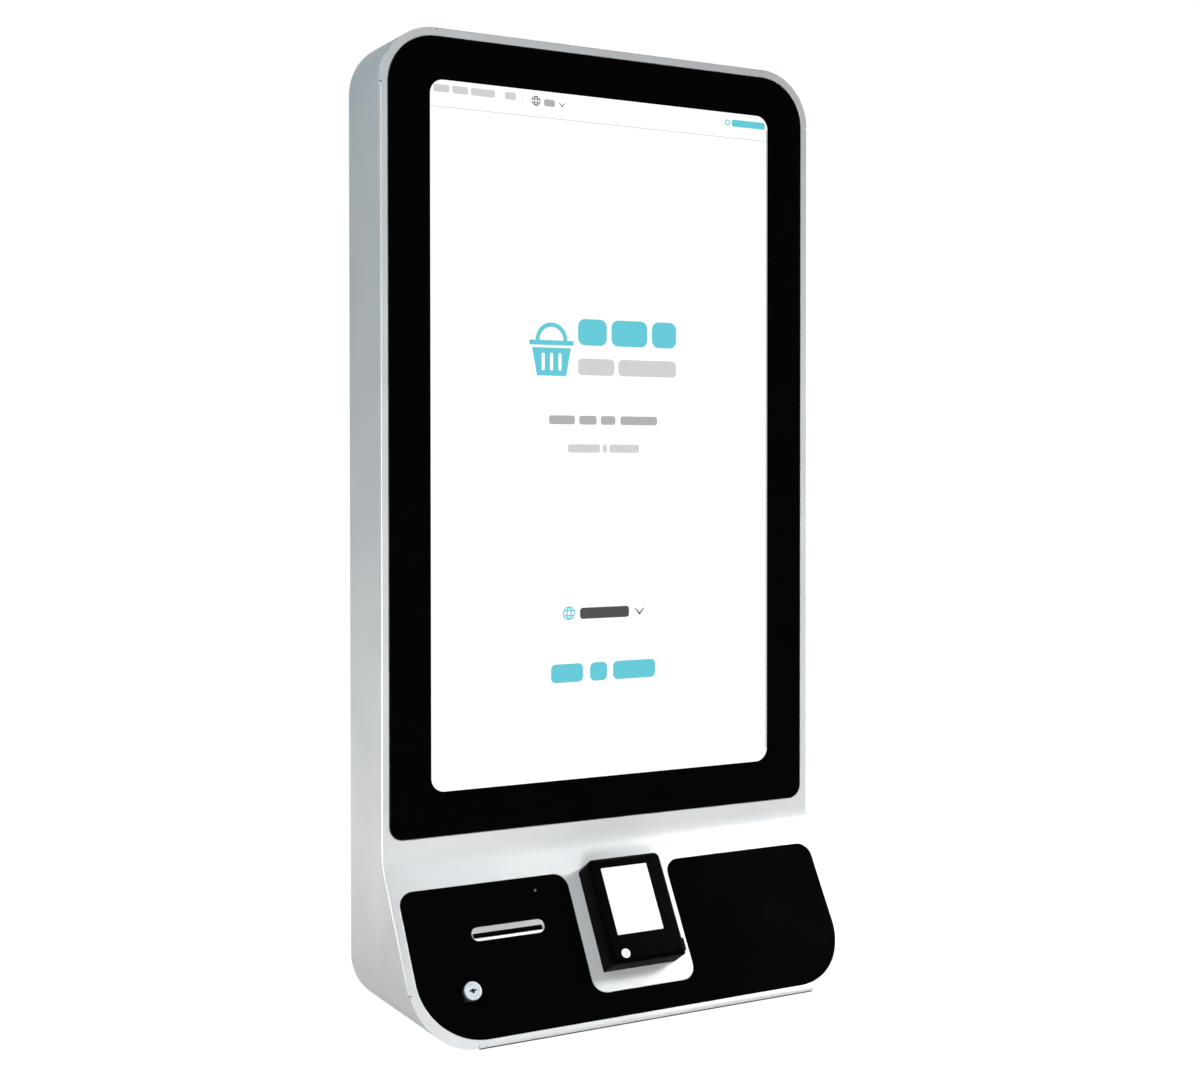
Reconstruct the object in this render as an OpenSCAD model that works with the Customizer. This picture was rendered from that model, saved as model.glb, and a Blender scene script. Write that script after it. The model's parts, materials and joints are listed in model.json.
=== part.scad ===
// Wall-mounted self checkout kiosk.
// Portrait touch display over a sloping chin that carries a receipt printer,
// a payment terminal and a cam lock. The whole front is one hinged door.
// The origin is the centre of the wall bolts, on the wall. The kiosk faces -Y.

/* [Cabinet] */
// Width of the cabinet
body_w = 496; // [496:1:540]
// Height of the cabinet
body_h = 974; // [974:1:1020]
// Depth from the wall to the display front
upper_depth = 86; // [86:1:110]
// Depth from the wall to the front edge of the chin
lip_depth = 185; // [185:1:209]
// Height at which the chin plane meets the display front
chin_h = 161; // [161:1:170]
// Radius of the concave bend between display front and chin
bend_r = 36; // [28:1:40]
// Radius of the two top corners
top_r = 58; // [50:1:60]
// Radius of the two bottom corners
bottom_r = 55; // [50:1:58]
// Thickness of the cabinet sheet
wall = 1.5; // [1:0.1:2]
// Thickness of the door sheet
skin = 2; // [1.5:0.1:2.5]
// Height of the wall bolt centre above the cabinet bottom
mount_z = 560; // [540:1:580]

/* [Display] */
// Width of the touch glass
glass_w = 480; // [476:1:480]
// Height of the touch glass
glass_h = 784; // [780:1:784]
// Thickness of the touch glass
glass_t = 3.2; // [3:0.1:3.3]
// Radius of the upper glass corners
glass_top_r = 50; // [40:1:52]
// Radius of the lower glass corners
glass_bottom_r = 14.5; // [10:0.5:20]
// Width of the active picture
screen_w = 392.8; // [380:0.1:393]
// Height of the active picture
screen_h = 698.4; // [680:0.1:699]

/* [Chin] */
// Half width of the black lower panel
panel_half_w = 238.8; // [236:0.1:239]
// Payment bay: half width of the bright bay between the lobes
bay_half_w = 58; // [56:0.5:62]
// Radius of the panel's two large lower corners
panel_big_r = 61; // [55:1:62]
// Radius of the panel's small corners
panel_r = 15; // [10:0.5:18]
// Distance of the receipt printer's centre from the middle
printer_u = -133.6; // [-136:0.1:-130]
// Width of the receipt mouth
mouth_w = 79; // [79:0.5:82]
// Distance of the lock from the middle
lock_u = -186; // [-190:0.5:-184]

/* [Terminal] */
// Width of the payment terminal
terminal_w = 83.4; // [80:0.2:84]
// Length of the payment terminal down the slope
terminal_l = 108; // [104:1:110]
// Height of the terminal above the chin
terminal_t = 26; // [24:0.5:28]

/* [Hidden] */
$fn = 96;
eps = 0.01;

// Running clearance, radial
fit = 0.08;

// Depths measured inward from the door's front surface
rim = 4.3;              // folded edge of the door sheet
seam = 4.8;             // front edge of the cabinet sheet
ledge_front = 4;        // front of the plate that carries the glass
ledge_back = 5.5;       // back of the plate that carries the glass
flange_depth = 8.7;     // cabinet's front return flange
flange_w = 20;          // its width in from the cabinet's outside
plate_back = 3.5;       // back of the chin backplate

// Slope of the chin
tilt = atan2(lip_depth - upper_depth, chin_h);
slope_l = chin_h / cos(tilt);

// Back panel and cable entry
recess = 10;
back_front = recess + wall;
cable_z = 440;
grommet_r = 16;
panel_hole_r = 20;

// Wall plate
plate_w = 300;
plate_h = 460;
plate_t = 2.5;
bolt_dx = 120;
bolt_dz = 200;
bolt_r = 3.5;
hook_x = 110;
hook_w = 20;
hook_z = 767;
hanger_z = mount_z - plate_h / 2 + 15;

// Display stack
glass_z = 181.5;
frame_low = glass_z - 9;
screen_z = 225.2;
glass_gap = 0.5;
lcd_rim = 4;
lcd_t = 1.6;
backlight_back = 67;

// Door hinges: the axis lies just outside the right-hand wall
hinge_x = body_w / 2 + 0.2;
hinge_y = upper_depth - seam + 0.1;
hinge_r = 1.6;
hinge_pin_r = 0.8;
hinge_half = 28;
hinge_web = 0.9;
leaf_t = 1.7;
hinge_zs = [250, 560, 870];

// Lower panel, measured down the slope from the junction
panel_top = 31.3;
panel_low = 181.9;
bay_low = 157.1;
panel_gap = 0.3;

// Receipt printer, as distance down the slope and depth behind the chin
mouth_s = 81.5;
mouth_h = 14.5;
mouth_t = 7;
slit_w = 70;
slit_low = 87;
slit_h = 4.6;
chassis_in = 41.5;
chassis_t = 1.5;
platen_s = 84;
platen_d = 16;
platen_r = 6;
platen_shaft_r = 2.5;
motor_s = 97.5;
motor_d = 22.8;
motor_r = 8.3;
gear_teeth = 20;
pinion_teeth = 10;
gear_u = chassis_in + chassis_t + 0.6;
mesh_angle = atan2(motor_s - platen_s, motor_d - platen_d); // from the platen to the motor
head_s = 72;
head_d = 34;
head_rod_r = 2;
roll_s = 84;
roll_d = 66;
roll_r = 24;
core_r = 9.5;
spindle_r = 7.9;
blade_s = 88.4;
blade_d = 7.8;
blade_t = 1.2;

// Cam lock
lock_s = 136;
lock_r = 9;
lock_out = 6;
barrel_r = 8;
barrel_l = 14;
plug_r = 6;
cam_l = 36;
cam_w = 12;
cam_d = barrel_l + 0.3;
cam_t = 2;

// Payment terminal
terminal_u = -1.7;
terminal_s = 29;
face_t = 8;
chamfer = 3.4;
display_u = -5.1;
display_s = 74.4;
button_u = -27.6;
button_s = 128;
button_r = 4.85;
screw_us = [-26.5, 26.5];
screw_ss = [14, 94];

// Parts on the floor of the cabinet
fan_x = 100;
fan_y = 50;
fan_size = 60;
fan_z = 2.5;
fan_t = 15;
inlet_x = 172;
switch_x = inlet_x - 27;
rocker_pin_r = 1.2;
speaker_xs = [-30, 30];
jack_xs = [-172, -152];
inlet_y = 30;

silver = [0.80, 0.82, 0.83];
black = [0.03, 0.03, 0.035];
steel = [0.62, 0.64, 0.66];
dark = [0.16, 0.17, 0.18];

// ---------- placing ----------

// Heights inside are measured from the cabinet bottom
module from_bottom() translate([0, 0, -mount_z]) children();

// A flat outline in X and Z, extruded forward from the wall between two distances
module forward(from, to) {
    translate([0, -from, 0]) rotate([90, 0, 0]) linear_extrude(to - from) children();
}

// A side view in Y and Z, extruded across the kiosk
module across(width) rotate([90, 0, 90]) linear_extrude(width, center = true) children();

// The chin's own frame: X across, Y up the slope, Z out of the chin
module on_chin() {
    from_bottom() translate([0, -upper_depth, chin_h]) rotate([90 - tilt, 0, 0]) children();
}

// A place on the chin: u across, s down the slope, depth behind the surface
module at_chin(u, s, depth = 0) on_chin() translate([u, -s, -depth]) children();

// A cylinder across the kiosk inside the chin
module cross_rod(s, depth, r, from, to) {
    at_chin(printer_u + from, s, depth) rotate([0, 90, 0]) cylinder(r = r, h = to - from);
}

// ---------- outlines ----------

// Upright outline with its own top and bottom corner radii, standing on z = 0
module tablet(w, h, r_top, r_bottom) {
    translate([-w / 2, r_bottom]) square([w, h - r_top - r_bottom]);
    translate([-w / 2 + r_top, h - r_top - eps]) square([w - 2 * r_top, r_top + eps]);
    translate([-w / 2 + r_bottom, 0]) square([w - 2 * r_bottom, r_bottom + eps]);
    for (side = [-1, 1]) {
        translate([side * (w / 2 - r_top), h - r_top]) circle(r_top);
        translate([side * (w / 2 - r_bottom), r_bottom]) circle(r_bottom);
    }
}

// The cabinet's outline seen from the front, drawn in by an inset
module front_outline(inset) {
    translate([0, inset])
        tablet(body_w - 2 * inset, body_h - 2 * inset, top_r - inset, bottom_r - inset);
}

// The glass outline, drawn in by an inset
module glass_outline(inset) {
    translate([0, glass_z + inset])
        tablet(glass_w - 2 * inset, glass_h - 2 * inset, glass_top_r - inset,
            glass_bottom_r - min(inset, 12));
}

// Everything behind the door's front surface, drawn back by a depth
module side_outline(depth) {
    jy = -upper_depth + depth;
    jz = chin_h - depth * tan(tilt / 2);
    r = bend_r + depth;
    reach = r * tan(tilt / 2);
    past = (jz + 10) / cos(tilt);
    difference() {
        polygon([
            [1, -10],
            [1, body_h + 10],
            [jy, body_h + 10],
            [jy, jz + reach],
            [jy - r, jz + reach],
            [jy - reach * sin(tilt), jz - reach * cos(tilt)],
            [jy - past * sin(tilt), -10]
        ]);
        translate([jy - r, jz + reach]) circle(r, $fn = 240);
    }
}

// The cabinet's block, drawn in at its edges and drawn back at its front
module body_block(inset, depth, from = 0) {
    intersection() {
        forward(from, lip_depth + 20) front_outline(inset);
        across(body_w + 20) side_outline(depth);
    }
}

// One lobe of the lower panel, on the right; y runs up the slope
module lobe(gap) {
    low = -panel_low + gap;
    high = -panel_top - gap;
    left = bay_half_w + gap;
    right = panel_half_w - gap;
    difference() {
        translate([0, low]) square([right, high - low]);
        translate([-1, -bay_low - gap]) square([left + 1, bay_low]);
        translate([right - panel_big_r, low - 1]) square([panel_big_r + 1, panel_big_r + 1]);
        translate([right - panel_r, high - panel_r]) square([panel_r + 1, panel_r + 1]);
        translate([left - 1, high - panel_r]) square([panel_r + 1, panel_r + 1]);
    }
    translate([right - panel_big_r, low + panel_big_r]) circle(panel_big_r);
    translate([right - panel_r, high - panel_r]) circle(panel_r);
    translate([left + panel_r, high - panel_r]) circle(panel_r);
    // concave corner of the payment bay
    translate([left - panel_r, -bay_low - gap]) difference() {
        translate([0, -eps]) square([panel_r + eps, panel_r + eps]);
        translate([0, panel_r]) circle(panel_r);
    }
}

// Both lobes, joined under the payment bay
module panel_outline(gap) {
    for (side = [0, 1]) mirror([side, 0]) lobe(gap);
}

// A slot with round ends, along the width
module stadium(w, h) {
    square([w - h, h], center = true);
    for (side = [-1, 1]) translate([side * (w - h) / 2, 0]) circle(h / 2);
}

// A box from its low corner to its high corner, y counted forward from the wall
module block(x, y, z) {
    translate([x[0], -y[1], z[0]]) cube([x[1] - x[0], y[1] - y[0], z[1] - z[0]]);
}

// Everything between two heights
module slice(low, high) block([-body_w, body_w], [-1, lip_depth + 20], [low, high]);

// A block in the chin's frame: across, down the slope, and depth behind it
module chin_block(u, s, d) {
    on_chin() translate([u[0], -s[1], -d[1]]) cube([u[1] - u[0], s[1] - s[0], d[1] - d[0]]);
}

// A round bar from front to back
module bar_y(x, z, r, from, to) {
    translate([x, -from, z]) rotate([90, 0, 0]) cylinder(r = r, h = to - from);
}

// Room around the hinge barrels and the heads of their pins
module hinge_room() {
    for (z = hinge_zs) translate([hinge_x, -hinge_y, z - hinge_half - 0.5])
        cylinder(r = hinge_r + 0.4, h = 2 * hinge_half + 2);
}

// ---------- wall side ----------

module wall_plate() color(steel) from_bottom() {
    low = mount_z - plate_h / 2;
    difference() {
        union() {
            block([-plate_w / 2, plate_w / 2], [0, plate_t], [low, low + plate_h]);
            for (side = [-1, 1]) {
                edge = side * (plate_w - plate_t) / 2;
                block([edge - plate_t / 2, edge + plate_t / 2], [0, recess], [low, low + plate_h]);
                hook = side * hook_x;
                block([hook - hook_w / 2, hook + hook_w / 2], [0, 14.5], [hook_z - 3, hook_z]);
                block([hook - hook_w / 2, hook + hook_w / 2], [12, 14.5], [hook_z - 3, hook_z + 12]);
            }
            // foot that takes the two hanger bolts
            block([-plate_w / 2, plate_w / 2], [recess - plate_t, recess], [low, low + 30]);
        }
        for (x = [-bolt_dx, bolt_dx], z = [-bolt_dz, bolt_dz])
            bar_y(x, mount_z + z, bolt_r, -1, plate_t + 1);
        for (x = [-bolt_dx, bolt_dx]) {
            bar_y(x, hanger_z, 2.1, recess - 2 * plate_t, recess + 1);
            block([x - 12, x + 12], [recess - plate_t - 1, recess + 1],
                [mount_z - bolt_dz - 12, mount_z - bolt_dz + 12]);
        }
        bar_y(0, cable_z, 32, -1, plate_t + 1);
    }
}

// The painted sheet that wraps the cabinet's sides, top and bottom
module wrap(low, high) from_bottom() intersection() {
    difference() {
        body_block(0, seam);
        forward(-1, lip_depth + 20) front_outline(wall);
        hinge_room();
    }
    slice(low, high);
}

module side_panels() color(silver) wrap(bottom_r, body_h - top_r);

module top_panel() color(silver) difference() {
    wrap(body_h - top_r, body_h + 1);
    // warm air leaves through the top, beside the wall
    from_bottom() for (i = [-9:9], y = [20, 46])
        block([i * 18 - 1.5, i * 18 + 1.5], [y, y + 20], [body_h - 5, body_h + 1]);
}

// Carries the fan intake, the speaker slots and the power and network cut-outs
module bottom_panel() color(silver) difference() {
    wrap(-1, bottom_r);
    from_bottom() {
        for (i = [-4:4])
            block([fan_x + i * 6 - 1.5, fan_x + i * 6 + 1.5], [fan_y - 22, fan_y + 22], [-1, 3]);
        for (x = speaker_xs, i = [-4:4])
            block([x + i * 4 - 1, x + i * 4 + 1], [40, 60], [-1, 3]);
        block([inlet_x - 14, inlet_x + 14], [inlet_y - 10, inlet_y + 10], [-1, 3]);
        block([switch_x - 7, switch_x + 7], [inlet_y - 11, inlet_y + 11], [-1, 3]);
        for (x = jack_xs)
            block([x - 8, x + 8], [inlet_y - 7, inlet_y + 7], [-1, 3]);
    }
}

// Flat panel with the hook slots, the hanger bolt holes and the cable entry
module back_panel() color(silver) from_bottom() difference() {
    forward(recess, back_front) front_outline(wall);
    for (side = [-1, 1]) {
        x = side * hook_x;
        block([x - hook_w / 2 - 2, x + hook_w / 2 + 2], [recess - 1, back_front + 1], [hook_z - 15, hook_z]);
        bar_y(side * bolt_dx, hanger_z, 2.1, recess - 1, back_front + 1);
    }
    bar_y(0, cable_z, panel_hole_r, recess - 1, back_front + 1);
}

// Return flange behind the door, all round the cabinet's front
module front_flange() color(silver) from_bottom() difference() {
    body_block(wall, flange_depth);
    across(body_w) side_outline(flange_depth + wall);
    forward(-1, lip_depth + 20) front_outline(flange_w);
}

module door_gasket() color(dark) from_bottom() difference() {
    union() {
        intersection() {
            body_block(10.5, ledge_back + 0.3);
            slice(frame_low - 0.3, body_h);
        }
        intersection() {
            body_block(10.5, plate_back + 0.3);
            slice(0, frame_low - 0.3);
        }
    }
    across(body_w + 30) side_outline(flange_depth);
    forward(0, lip_depth + 20) front_outline(18.5);
}

module cabinet_hinges() color(steel) from_bottom() for (z = hinge_zs) {
    top = z - 0.25;
    low = z - hinge_half;
    inner = body_w / 2 - wall;
    front = upper_depth - flange_depth;
    difference() {
        union() {
            translate([hinge_x, -hinge_y, low]) cylinder(r = hinge_r, h = top - low);
            block([inner - 1.5, inner], [front, hinge_y], [low, top]);
            block([inner - 1.5, hinge_x], [hinge_y - hinge_web, hinge_y], [low, top]);
            block([inner - 7.5, inner], [front, front + 1.3], [low, top]);
        }
        translate([hinge_x, -hinge_y, low - 1]) cylinder(r = hinge_pin_r + 0.05, h = top - low + 2);
    }
}

module door_hinges() color(steel) from_bottom() for (z = hinge_zs) {
    low = z + 0.25;
    top = z + hinge_half;
    difference() {
        union() {
            translate([hinge_x, -hinge_y, low]) cylinder(r = hinge_r, h = top - low);
            block([glass_w / 2 + 0.6, hinge_x], [upper_depth - skin - leaf_t, upper_depth - skin],
                [low, top]);
        }
        translate([hinge_x, -hinge_y, low - 1]) cylinder(r = hinge_pin_r + 0.05, h = top - low + 2);
    }
}

module hinge_pins() color(steel) from_bottom() for (z = hinge_zs) {
    translate([hinge_x, -hinge_y, z - hinge_half]) cylinder(r = hinge_pin_r, h = 2 * hinge_half + 0.3);
    translate([hinge_x, -hinge_y, z + hinge_half + 0.2]) cylinder(r = hinge_r, h = 1);
}

module lock_striker() color(steel) {
    chin_block([-body_w / 2 + 8, -body_w / 2 + 34], [lock_s - 11, lock_s + 11],
        [flange_depth + wall, flange_depth + wall + 3.6]);
}

// ---------- electronics on the back panel ----------

module computer_case() color(dark) from_bottom() difference() {
    block([-95, 95], [16.5, 46.5], [620, 800]);
    block([-93.5, 93.5], [18, 47], [621.5, 798.5]);
    for (i = [0:4]) block([-70 + i * 30, -50 + i * 30], [24, 36], [619, 623]);
}

module computer_heat_sink() color(steel) from_bottom() {
    block([-95, 95], [46.5, 49], [620, 800]);
    for (i = [-10:10]) block([i * 9 - 1, i * 9 + 1], [49, 56], [624, 796]);
}

module main_board() color([0.05, 0.3, 0.16]) from_bottom() {
    block([-85, 85], [22, 23.6], [628, 792]);
    block([-25, 25], [23.6, 46.5], [690, 740]);
    for (i = [0:4]) block([-68 + i * 30, -52 + i * 30], [23.6, 35], [628, 642]);
    for (i = [0:1]) block([50 + i * 12, 54 + i * 12], [23.6, 44], [660, 780]);
}

module power_supply() color(steel) from_bottom() difference() {
    union() {
        block([-215, -115], [back_front, 49], [400, 560]);
        block([-212, -118], [back_front, 30], [388, 400]);
    }
    for (i = [0:7]) block([-205, -125], [48, 50], [420 + i * 16, 428 + i * 16]);
    for (i = [0:6]) block([-209 + i * 13, -200 + i * 13], [22, 31], [386, 398]);
}

module power_inlet() color(black) from_bottom() difference() {
    union() {
        block([inlet_x - 13.8, inlet_x + 13.8], [inlet_y - 9.8, inlet_y + 9.8], [0, 24]);
        block([inlet_x - 18, inlet_x + 18], [inlet_y - 12, inlet_y + 12], [-2, 0]);
    }
    difference() {
        block([inlet_x - 12, inlet_x + 12], [inlet_y - 8, inlet_y + 8], [-3, 16]);
        block([inlet_x - 9, inlet_x + 9], [inlet_y - 5, inlet_y + 5], [-1, 17]);
    }
    for (x = [-6, 0, 6]) block([inlet_x + x - 2, inlet_x + x + 2], [inlet_y - 1, inlet_y + 1], [-3, 12]);
}

module power_switch() color(black) from_bottom() difference() {
    union() {
        block([switch_x - 6.8, switch_x + 6.8], [inlet_y - 10.8, inlet_y + 10.8], [0, 16]);
        block([switch_x - 8.5, switch_x + 8.5], [inlet_y - 13, inlet_y + 13], [-2, 0]);
    }
    block([switch_x - 5.5, switch_x + 5.5], [inlet_y - 9.5, inlet_y + 9.5], [-3, 10]);
    rocker_axle(rocker_pin_r + fit, 13.4);
}

// The line on which the rocker tilts
module rocker_axle(r, length) {
    translate([switch_x, -inlet_y, 2.5]) rotate([0, 90, 0]) cylinder(r = r, h = length, center = true);
}

// Rocker with two faces, shown tipped to its off side
module power_rocker() color([0.55, 0.05, 0.05]) from_bottom() {
    translate([switch_x, -inlet_y, 2.5]) rotate([8, 0, 0]) rotate([90, 0, 90])
        linear_extrude(10.4, center = true)
        polygon([[-8.6, -5.4], [0, -4.2], [8.6, -5.4], [8.2, 1], [3, 3], [-3, 3], [-8.2, 1]]);
    rocker_axle(rocker_pin_r, 12.8);
}

module network_jacks() color(steel) from_bottom() for (x = jack_xs) difference() {
    union() {
        block([x - 7.8, x + 7.8], [inlet_y - 6.8, inlet_y + 6.8], [0, 20]);
        block([x - 9, x + 9], [inlet_y - 9, inlet_y + 9], [-1.2, 0]);
    }
    block([x - 5.8, x + 5.8], [inlet_y - 4.5, inlet_y + 4.5], [-2, 14]);
}

module cable_grommet() color(dark) from_bottom() difference() {
    union() {
        bar_y(0, cable_z, panel_hole_r, recess, back_front);
        bar_y(0, cable_z, panel_hole_r + 5, back_front, back_front + 3);
        bar_y(0, cable_z, panel_hole_r + 4, recess - 3, recess);
    }
    bar_y(0, cable_z, grommet_r, 0, back_front + 10);
}

module fan_frame() color(dark) from_bottom() {
    difference() {
        translate([fan_x - fan_size / 2, -fan_y - fan_size / 2, fan_z])
            cube([fan_size, fan_size, fan_t]);
        translate([fan_x, -fan_y, fan_z - 1]) cylinder(r = 28.5, h = fan_t + 2);
        for (x = [-25, 25], y = [-25, 25])
            translate([fan_x + x, -fan_y + y, fan_z - 1]) cylinder(r = 2.2, h = fan_t + 2);
    }
    // stator hub on three struts, and rubber pads under the frame
    translate([fan_x, -fan_y, fan_z]) cylinder(r = 11, h = 2);
    for (a = [30, 150, 270])
        translate([fan_x, -fan_y, fan_z]) rotate([0, 0, a]) translate([10, -1.5, 0]) cube([19, 3, 2]);
    for (x = [-25, 25], y = [-27, 27])
        translate([fan_x + x - 3, -fan_y + y - 3, wall]) cube([6, 6, fan_z - wall]);
}

module fan_rotor() color(dark) from_bottom() translate([fan_x, -fan_y, fan_z + 2.6]) {
    difference() {
        cylinder(r = 12, h = 11);
        translate([0, 0, -1]) cylinder(r = 10, h = 9);
    }
    cylinder(r = 1.5, h = 9);
    for (i = [0:6]) rotate([0, 0, i * 360 / 7]) translate([11, 0, 5.5]) rotate([38, 0, 0])
        translate([0, -6.5, -0.7]) cube([15.8, 13, 1.4]);
}

module speakers() color(dark) from_bottom() for (x = speaker_xs) difference() {
    block([x - 24, x + 24], [32, 68], [wall, 24]);
    translate([x, -50, wall - 1]) cylinder(r = 15, h = 12);
}

// Hanger bolts, computer standoffs, and screws of the heat sink and the power supply
module cabinet_fixings() color(steel) from_bottom() {
    for (x = [-bolt_dx, bolt_dx]) {
        bar_y(x, hanger_z, 2, recess - plate_t, back_front + 1);
        bar_y(x, hanger_z, 4.5, back_front, back_front + 3);
    }
    for (x = [-85, 85], z = [635, 785]) bar_y(x, z, 4, back_front, 16.5);
    for (x = [-78, 78], z = [636, 784]) bar_y(x, z, 2.5, 18, 22);
    for (x = [-85.5, 85.5], z = [622.5, 797.5]) bar_y(x, z, 2, 49, 50.4);
    for (x = [-205, -125], z = [408, 552]) bar_y(x, z, 3, 49, 51);
}

// ---------- door ----------

// The folded door sheet between two heights, with its glass and panel openings
module door_sheet(low, high) difference() {
    from_bottom() difference() {
        body_block(0, 0);
        body_block(-1, rim);
        body_block(skin, skin);
        forward(upper_depth - skin - 5, lip_depth) glass_outline(-glass_gap);
        hinge_room();
        for (z = hinge_zs) block([body_w / 2 - skin - 1, body_w / 2 + 1],
            [upper_depth - skin - leaf_t - 0.1, upper_depth - skin], [z, z + hinge_half + 0.1]);
        slice(-2, low);
        slice(high, body_h + 2);
    }
    on_chin() translate([0, 0, -skin - 4]) linear_extrude(skin + 5) panel_outline(-panel_gap);
    at_chin(terminal_u, terminal_s + 50, skin + 1) cylinder(r = 8, h = skin + 2);
    terminal_screw_holes(2.2);
}

module front_bezel() color(silver) door_sheet(chin_h, body_h + 1);

module chin_skin() color(silver) door_sheet(-1, chin_h);

// Plate behind the glass edge, with a spacer rim against the door sheet
module door_frame() color(steel) from_bottom() difference() {
    forward(upper_depth - ledge_back, upper_depth - skin) intersection() {
        front_outline(skin + 0.3);
        translate([-body_w, frame_low]) square([2 * body_w, body_h]);
    }
    forward(upper_depth - ledge_front, upper_depth) glass_outline(-0.8);
    forward(0, upper_depth) glass_outline(22);
    for (z = hinge_zs) {
        block([body_w / 2 - 4.5, body_w], [0, lip_depth], [z - hinge_half - 0.5, z + hinge_half + 0.5]);
        block([body_w / 2 - 11, body_w], [upper_depth - skin - leaf_t - 0.1, lip_depth],
            [z - hinge_half - 0.5, z + hinge_half + 0.5]);
    }
}

module touch_glass() color([0.02, 0.02, 0.025]) from_bottom() {
    forward(upper_depth - glass_t, upper_depth) glass_outline(0);
}

module glass_tape() color(dark) from_bottom() {
    forward(upper_depth - ledge_front, upper_depth - glass_t) difference() {
        glass_outline(1);
        glass_outline(20);
    }
}

module lcd_panel() color([0.95, 0.96, 0.97]) from_bottom() {
    back = upper_depth - glass_t - 0.2 - lcd_t;
    block([-screen_w / 2 - lcd_rim, screen_w / 2 + lcd_rim], [back, back + lcd_t],
        [screen_z - lcd_rim, screen_z + screen_h + lcd_rim]);
}

module lcd_backlight() color(steel) from_bottom() {
    front = upper_depth - glass_t - 0.2 - lcd_t;
    side = screen_w / 2 + 12;
    low = screen_z - 12;
    high = screen_z + screen_h + 12;
    difference() {
        block([-side, side], [backlight_back, front], [low, high]);
        for (i = [-2:2]) block([i * 70 - 6, i * 70 + 6], [backlight_back - 1, backlight_back + 1.5],
            [low + 30, high - 30]);
    }
}

module lcd_brackets() color(steel) from_bottom() {
    edge = screen_w / 2 + 12;
    for (side = [0, 1], z = [300, 520, 820]) mirror([side, 0, 0]) translate([0, 0, z])
        mirror([0, 1, 0]) linear_extrude(60) polygon([
            [edge - 12, backlight_back - 1.5],
            [edge + 12, backlight_back - 1.5],
            [edge + 12, upper_depth - ledge_back - 1.5],
            [edge + 19, upper_depth - ledge_back - 1.5],
            [edge + 19, upper_depth - ledge_back],
            [edge + 10.5, upper_depth - ledge_back],
            [edge + 10.5, backlight_back],
            [edge - 12, backlight_back]
        ]);
}

module display_board() color([0.05, 0.3, 0.16]) from_bottom() {
    block([20, 160], [60, 61.6], [470, 570]);
    for (x = [26, 154], z = [476, 564]) bar_y(x, z, 2.5, 61.6, backlight_back);
    for (i = [0:3]) block([30 + i * 32, 52 + i * 32], [50, 60], [474, 486]);
    block([70, 110], [56, 60], [505, 545]);
}

// ---------- chin panel ----------

// Holes through the lower panel and its backplate
module left_lobe_holes() {
    translate([printer_u, -mouth_s]) stadium(mouth_w + 0.4, mouth_h + 0.4);
    translate([lock_u, -lock_s]) circle(barrel_r + 0.1);
    translate([-95.3, -45.4]) circle(1.6);
}

module lower_panel() color(black) on_chin() translate([0, 0, -skin]) linear_extrude(skin)
    difference() {
        panel_outline(0);
        left_lobe_holes();
    }

module chin_backplate() color(steel) difference() {
    intersection() {
        from_bottom() body_block(skin + 0.4, skin);
        on_chin() translate([-body_w / 2, -slope_l - 10, -plate_back])
            cube([body_w, slope_l - 14, plate_back - skin]);
    }
    on_chin() translate([0, 0, -plate_back - 1]) linear_extrude(plate_back) left_lobe_holes();
    at_chin(terminal_u, terminal_s + 50, plate_back + 1) cylinder(r = 8, h = 5);
    terminal_screw_holes(2.2);
}

// Moulded insert whose upper lip slopes in to the paper slit
module receipt_mouth() color(black) difference() {
    on_chin() translate([printer_u, -mouth_s, -mouth_t]) linear_extrude(mouth_t)
        stadium(mouth_w, mouth_h);
    chin_block([printer_u - slit_w / 2, printer_u + slit_w / 2], [slit_low - slit_h, slit_low],
        [-1, mouth_t + 1]);
    // sloping scoop above the slit
    on_chin() translate([printer_u, -slit_low, 0]) rotate([90, 0, 90])
        linear_extrude(slit_w, center = true)
        polygon([[0, -mouth_t], [slit_h, -mouth_t], [10.8, 0], [10.8, 1], [0, 1]]);
}

module status_led() color([0.6, 0.9, 0.6]) at_chin(-95.3, 45.4, plate_back + 2)
    cylinder(r = 1.5, h = plate_back + 2);

// ---------- receipt printer ----------

module printer_chassis() color(steel) difference() {
    union() {
        for (side = [-1, 1]) {
            u = printer_u + side * (chassis_in + chassis_t / 2);
            on_chin() translate([u, 0, 0]) rotate([90, 0, 90])
                linear_extrude(chassis_t, center = true) polygon([
                    [-56, -plate_back],
                    [-122, -plate_back],
                    [-122, -40],
                    [-104, -76],
                    [-80, -76],
                    [-56, -46]
                ]);
        }
        chin_block([printer_u - chassis_in, printer_u + chassis_in], [112, 113.5], [plate_back, 36]);
        chin_block([printer_u - chassis_in, printer_u + chassis_in], [57, 58.5], [plate_back, 40]);
    }
    cross_rod(platen_s, platen_d, platen_shaft_r + 0.05, -50, 50);
    cross_rod(head_s, head_d, head_rod_r, -50, 50);
    cross_rod(roll_s, roll_d, spindle_r - 3, -50, 50);
    cross_rod(motor_s, motor_d, 3.4, 0, 50);
    chin_block([printer_u - 50, printer_u + 50], [79, 101.5], [blade_d - 0.3, blade_d + blade_t + 0.3]);
}

module platen_roller() color(dark) {
    cross_rod(platen_s, platen_d, platen_r, -40.5, 40.5);
    cross_rod(platen_s, platen_d, platen_shaft_r, -45, -40.5);
    cross_rod(platen_s, platen_d, platen_shaft_r, 40.5, gear_u);
}

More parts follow.
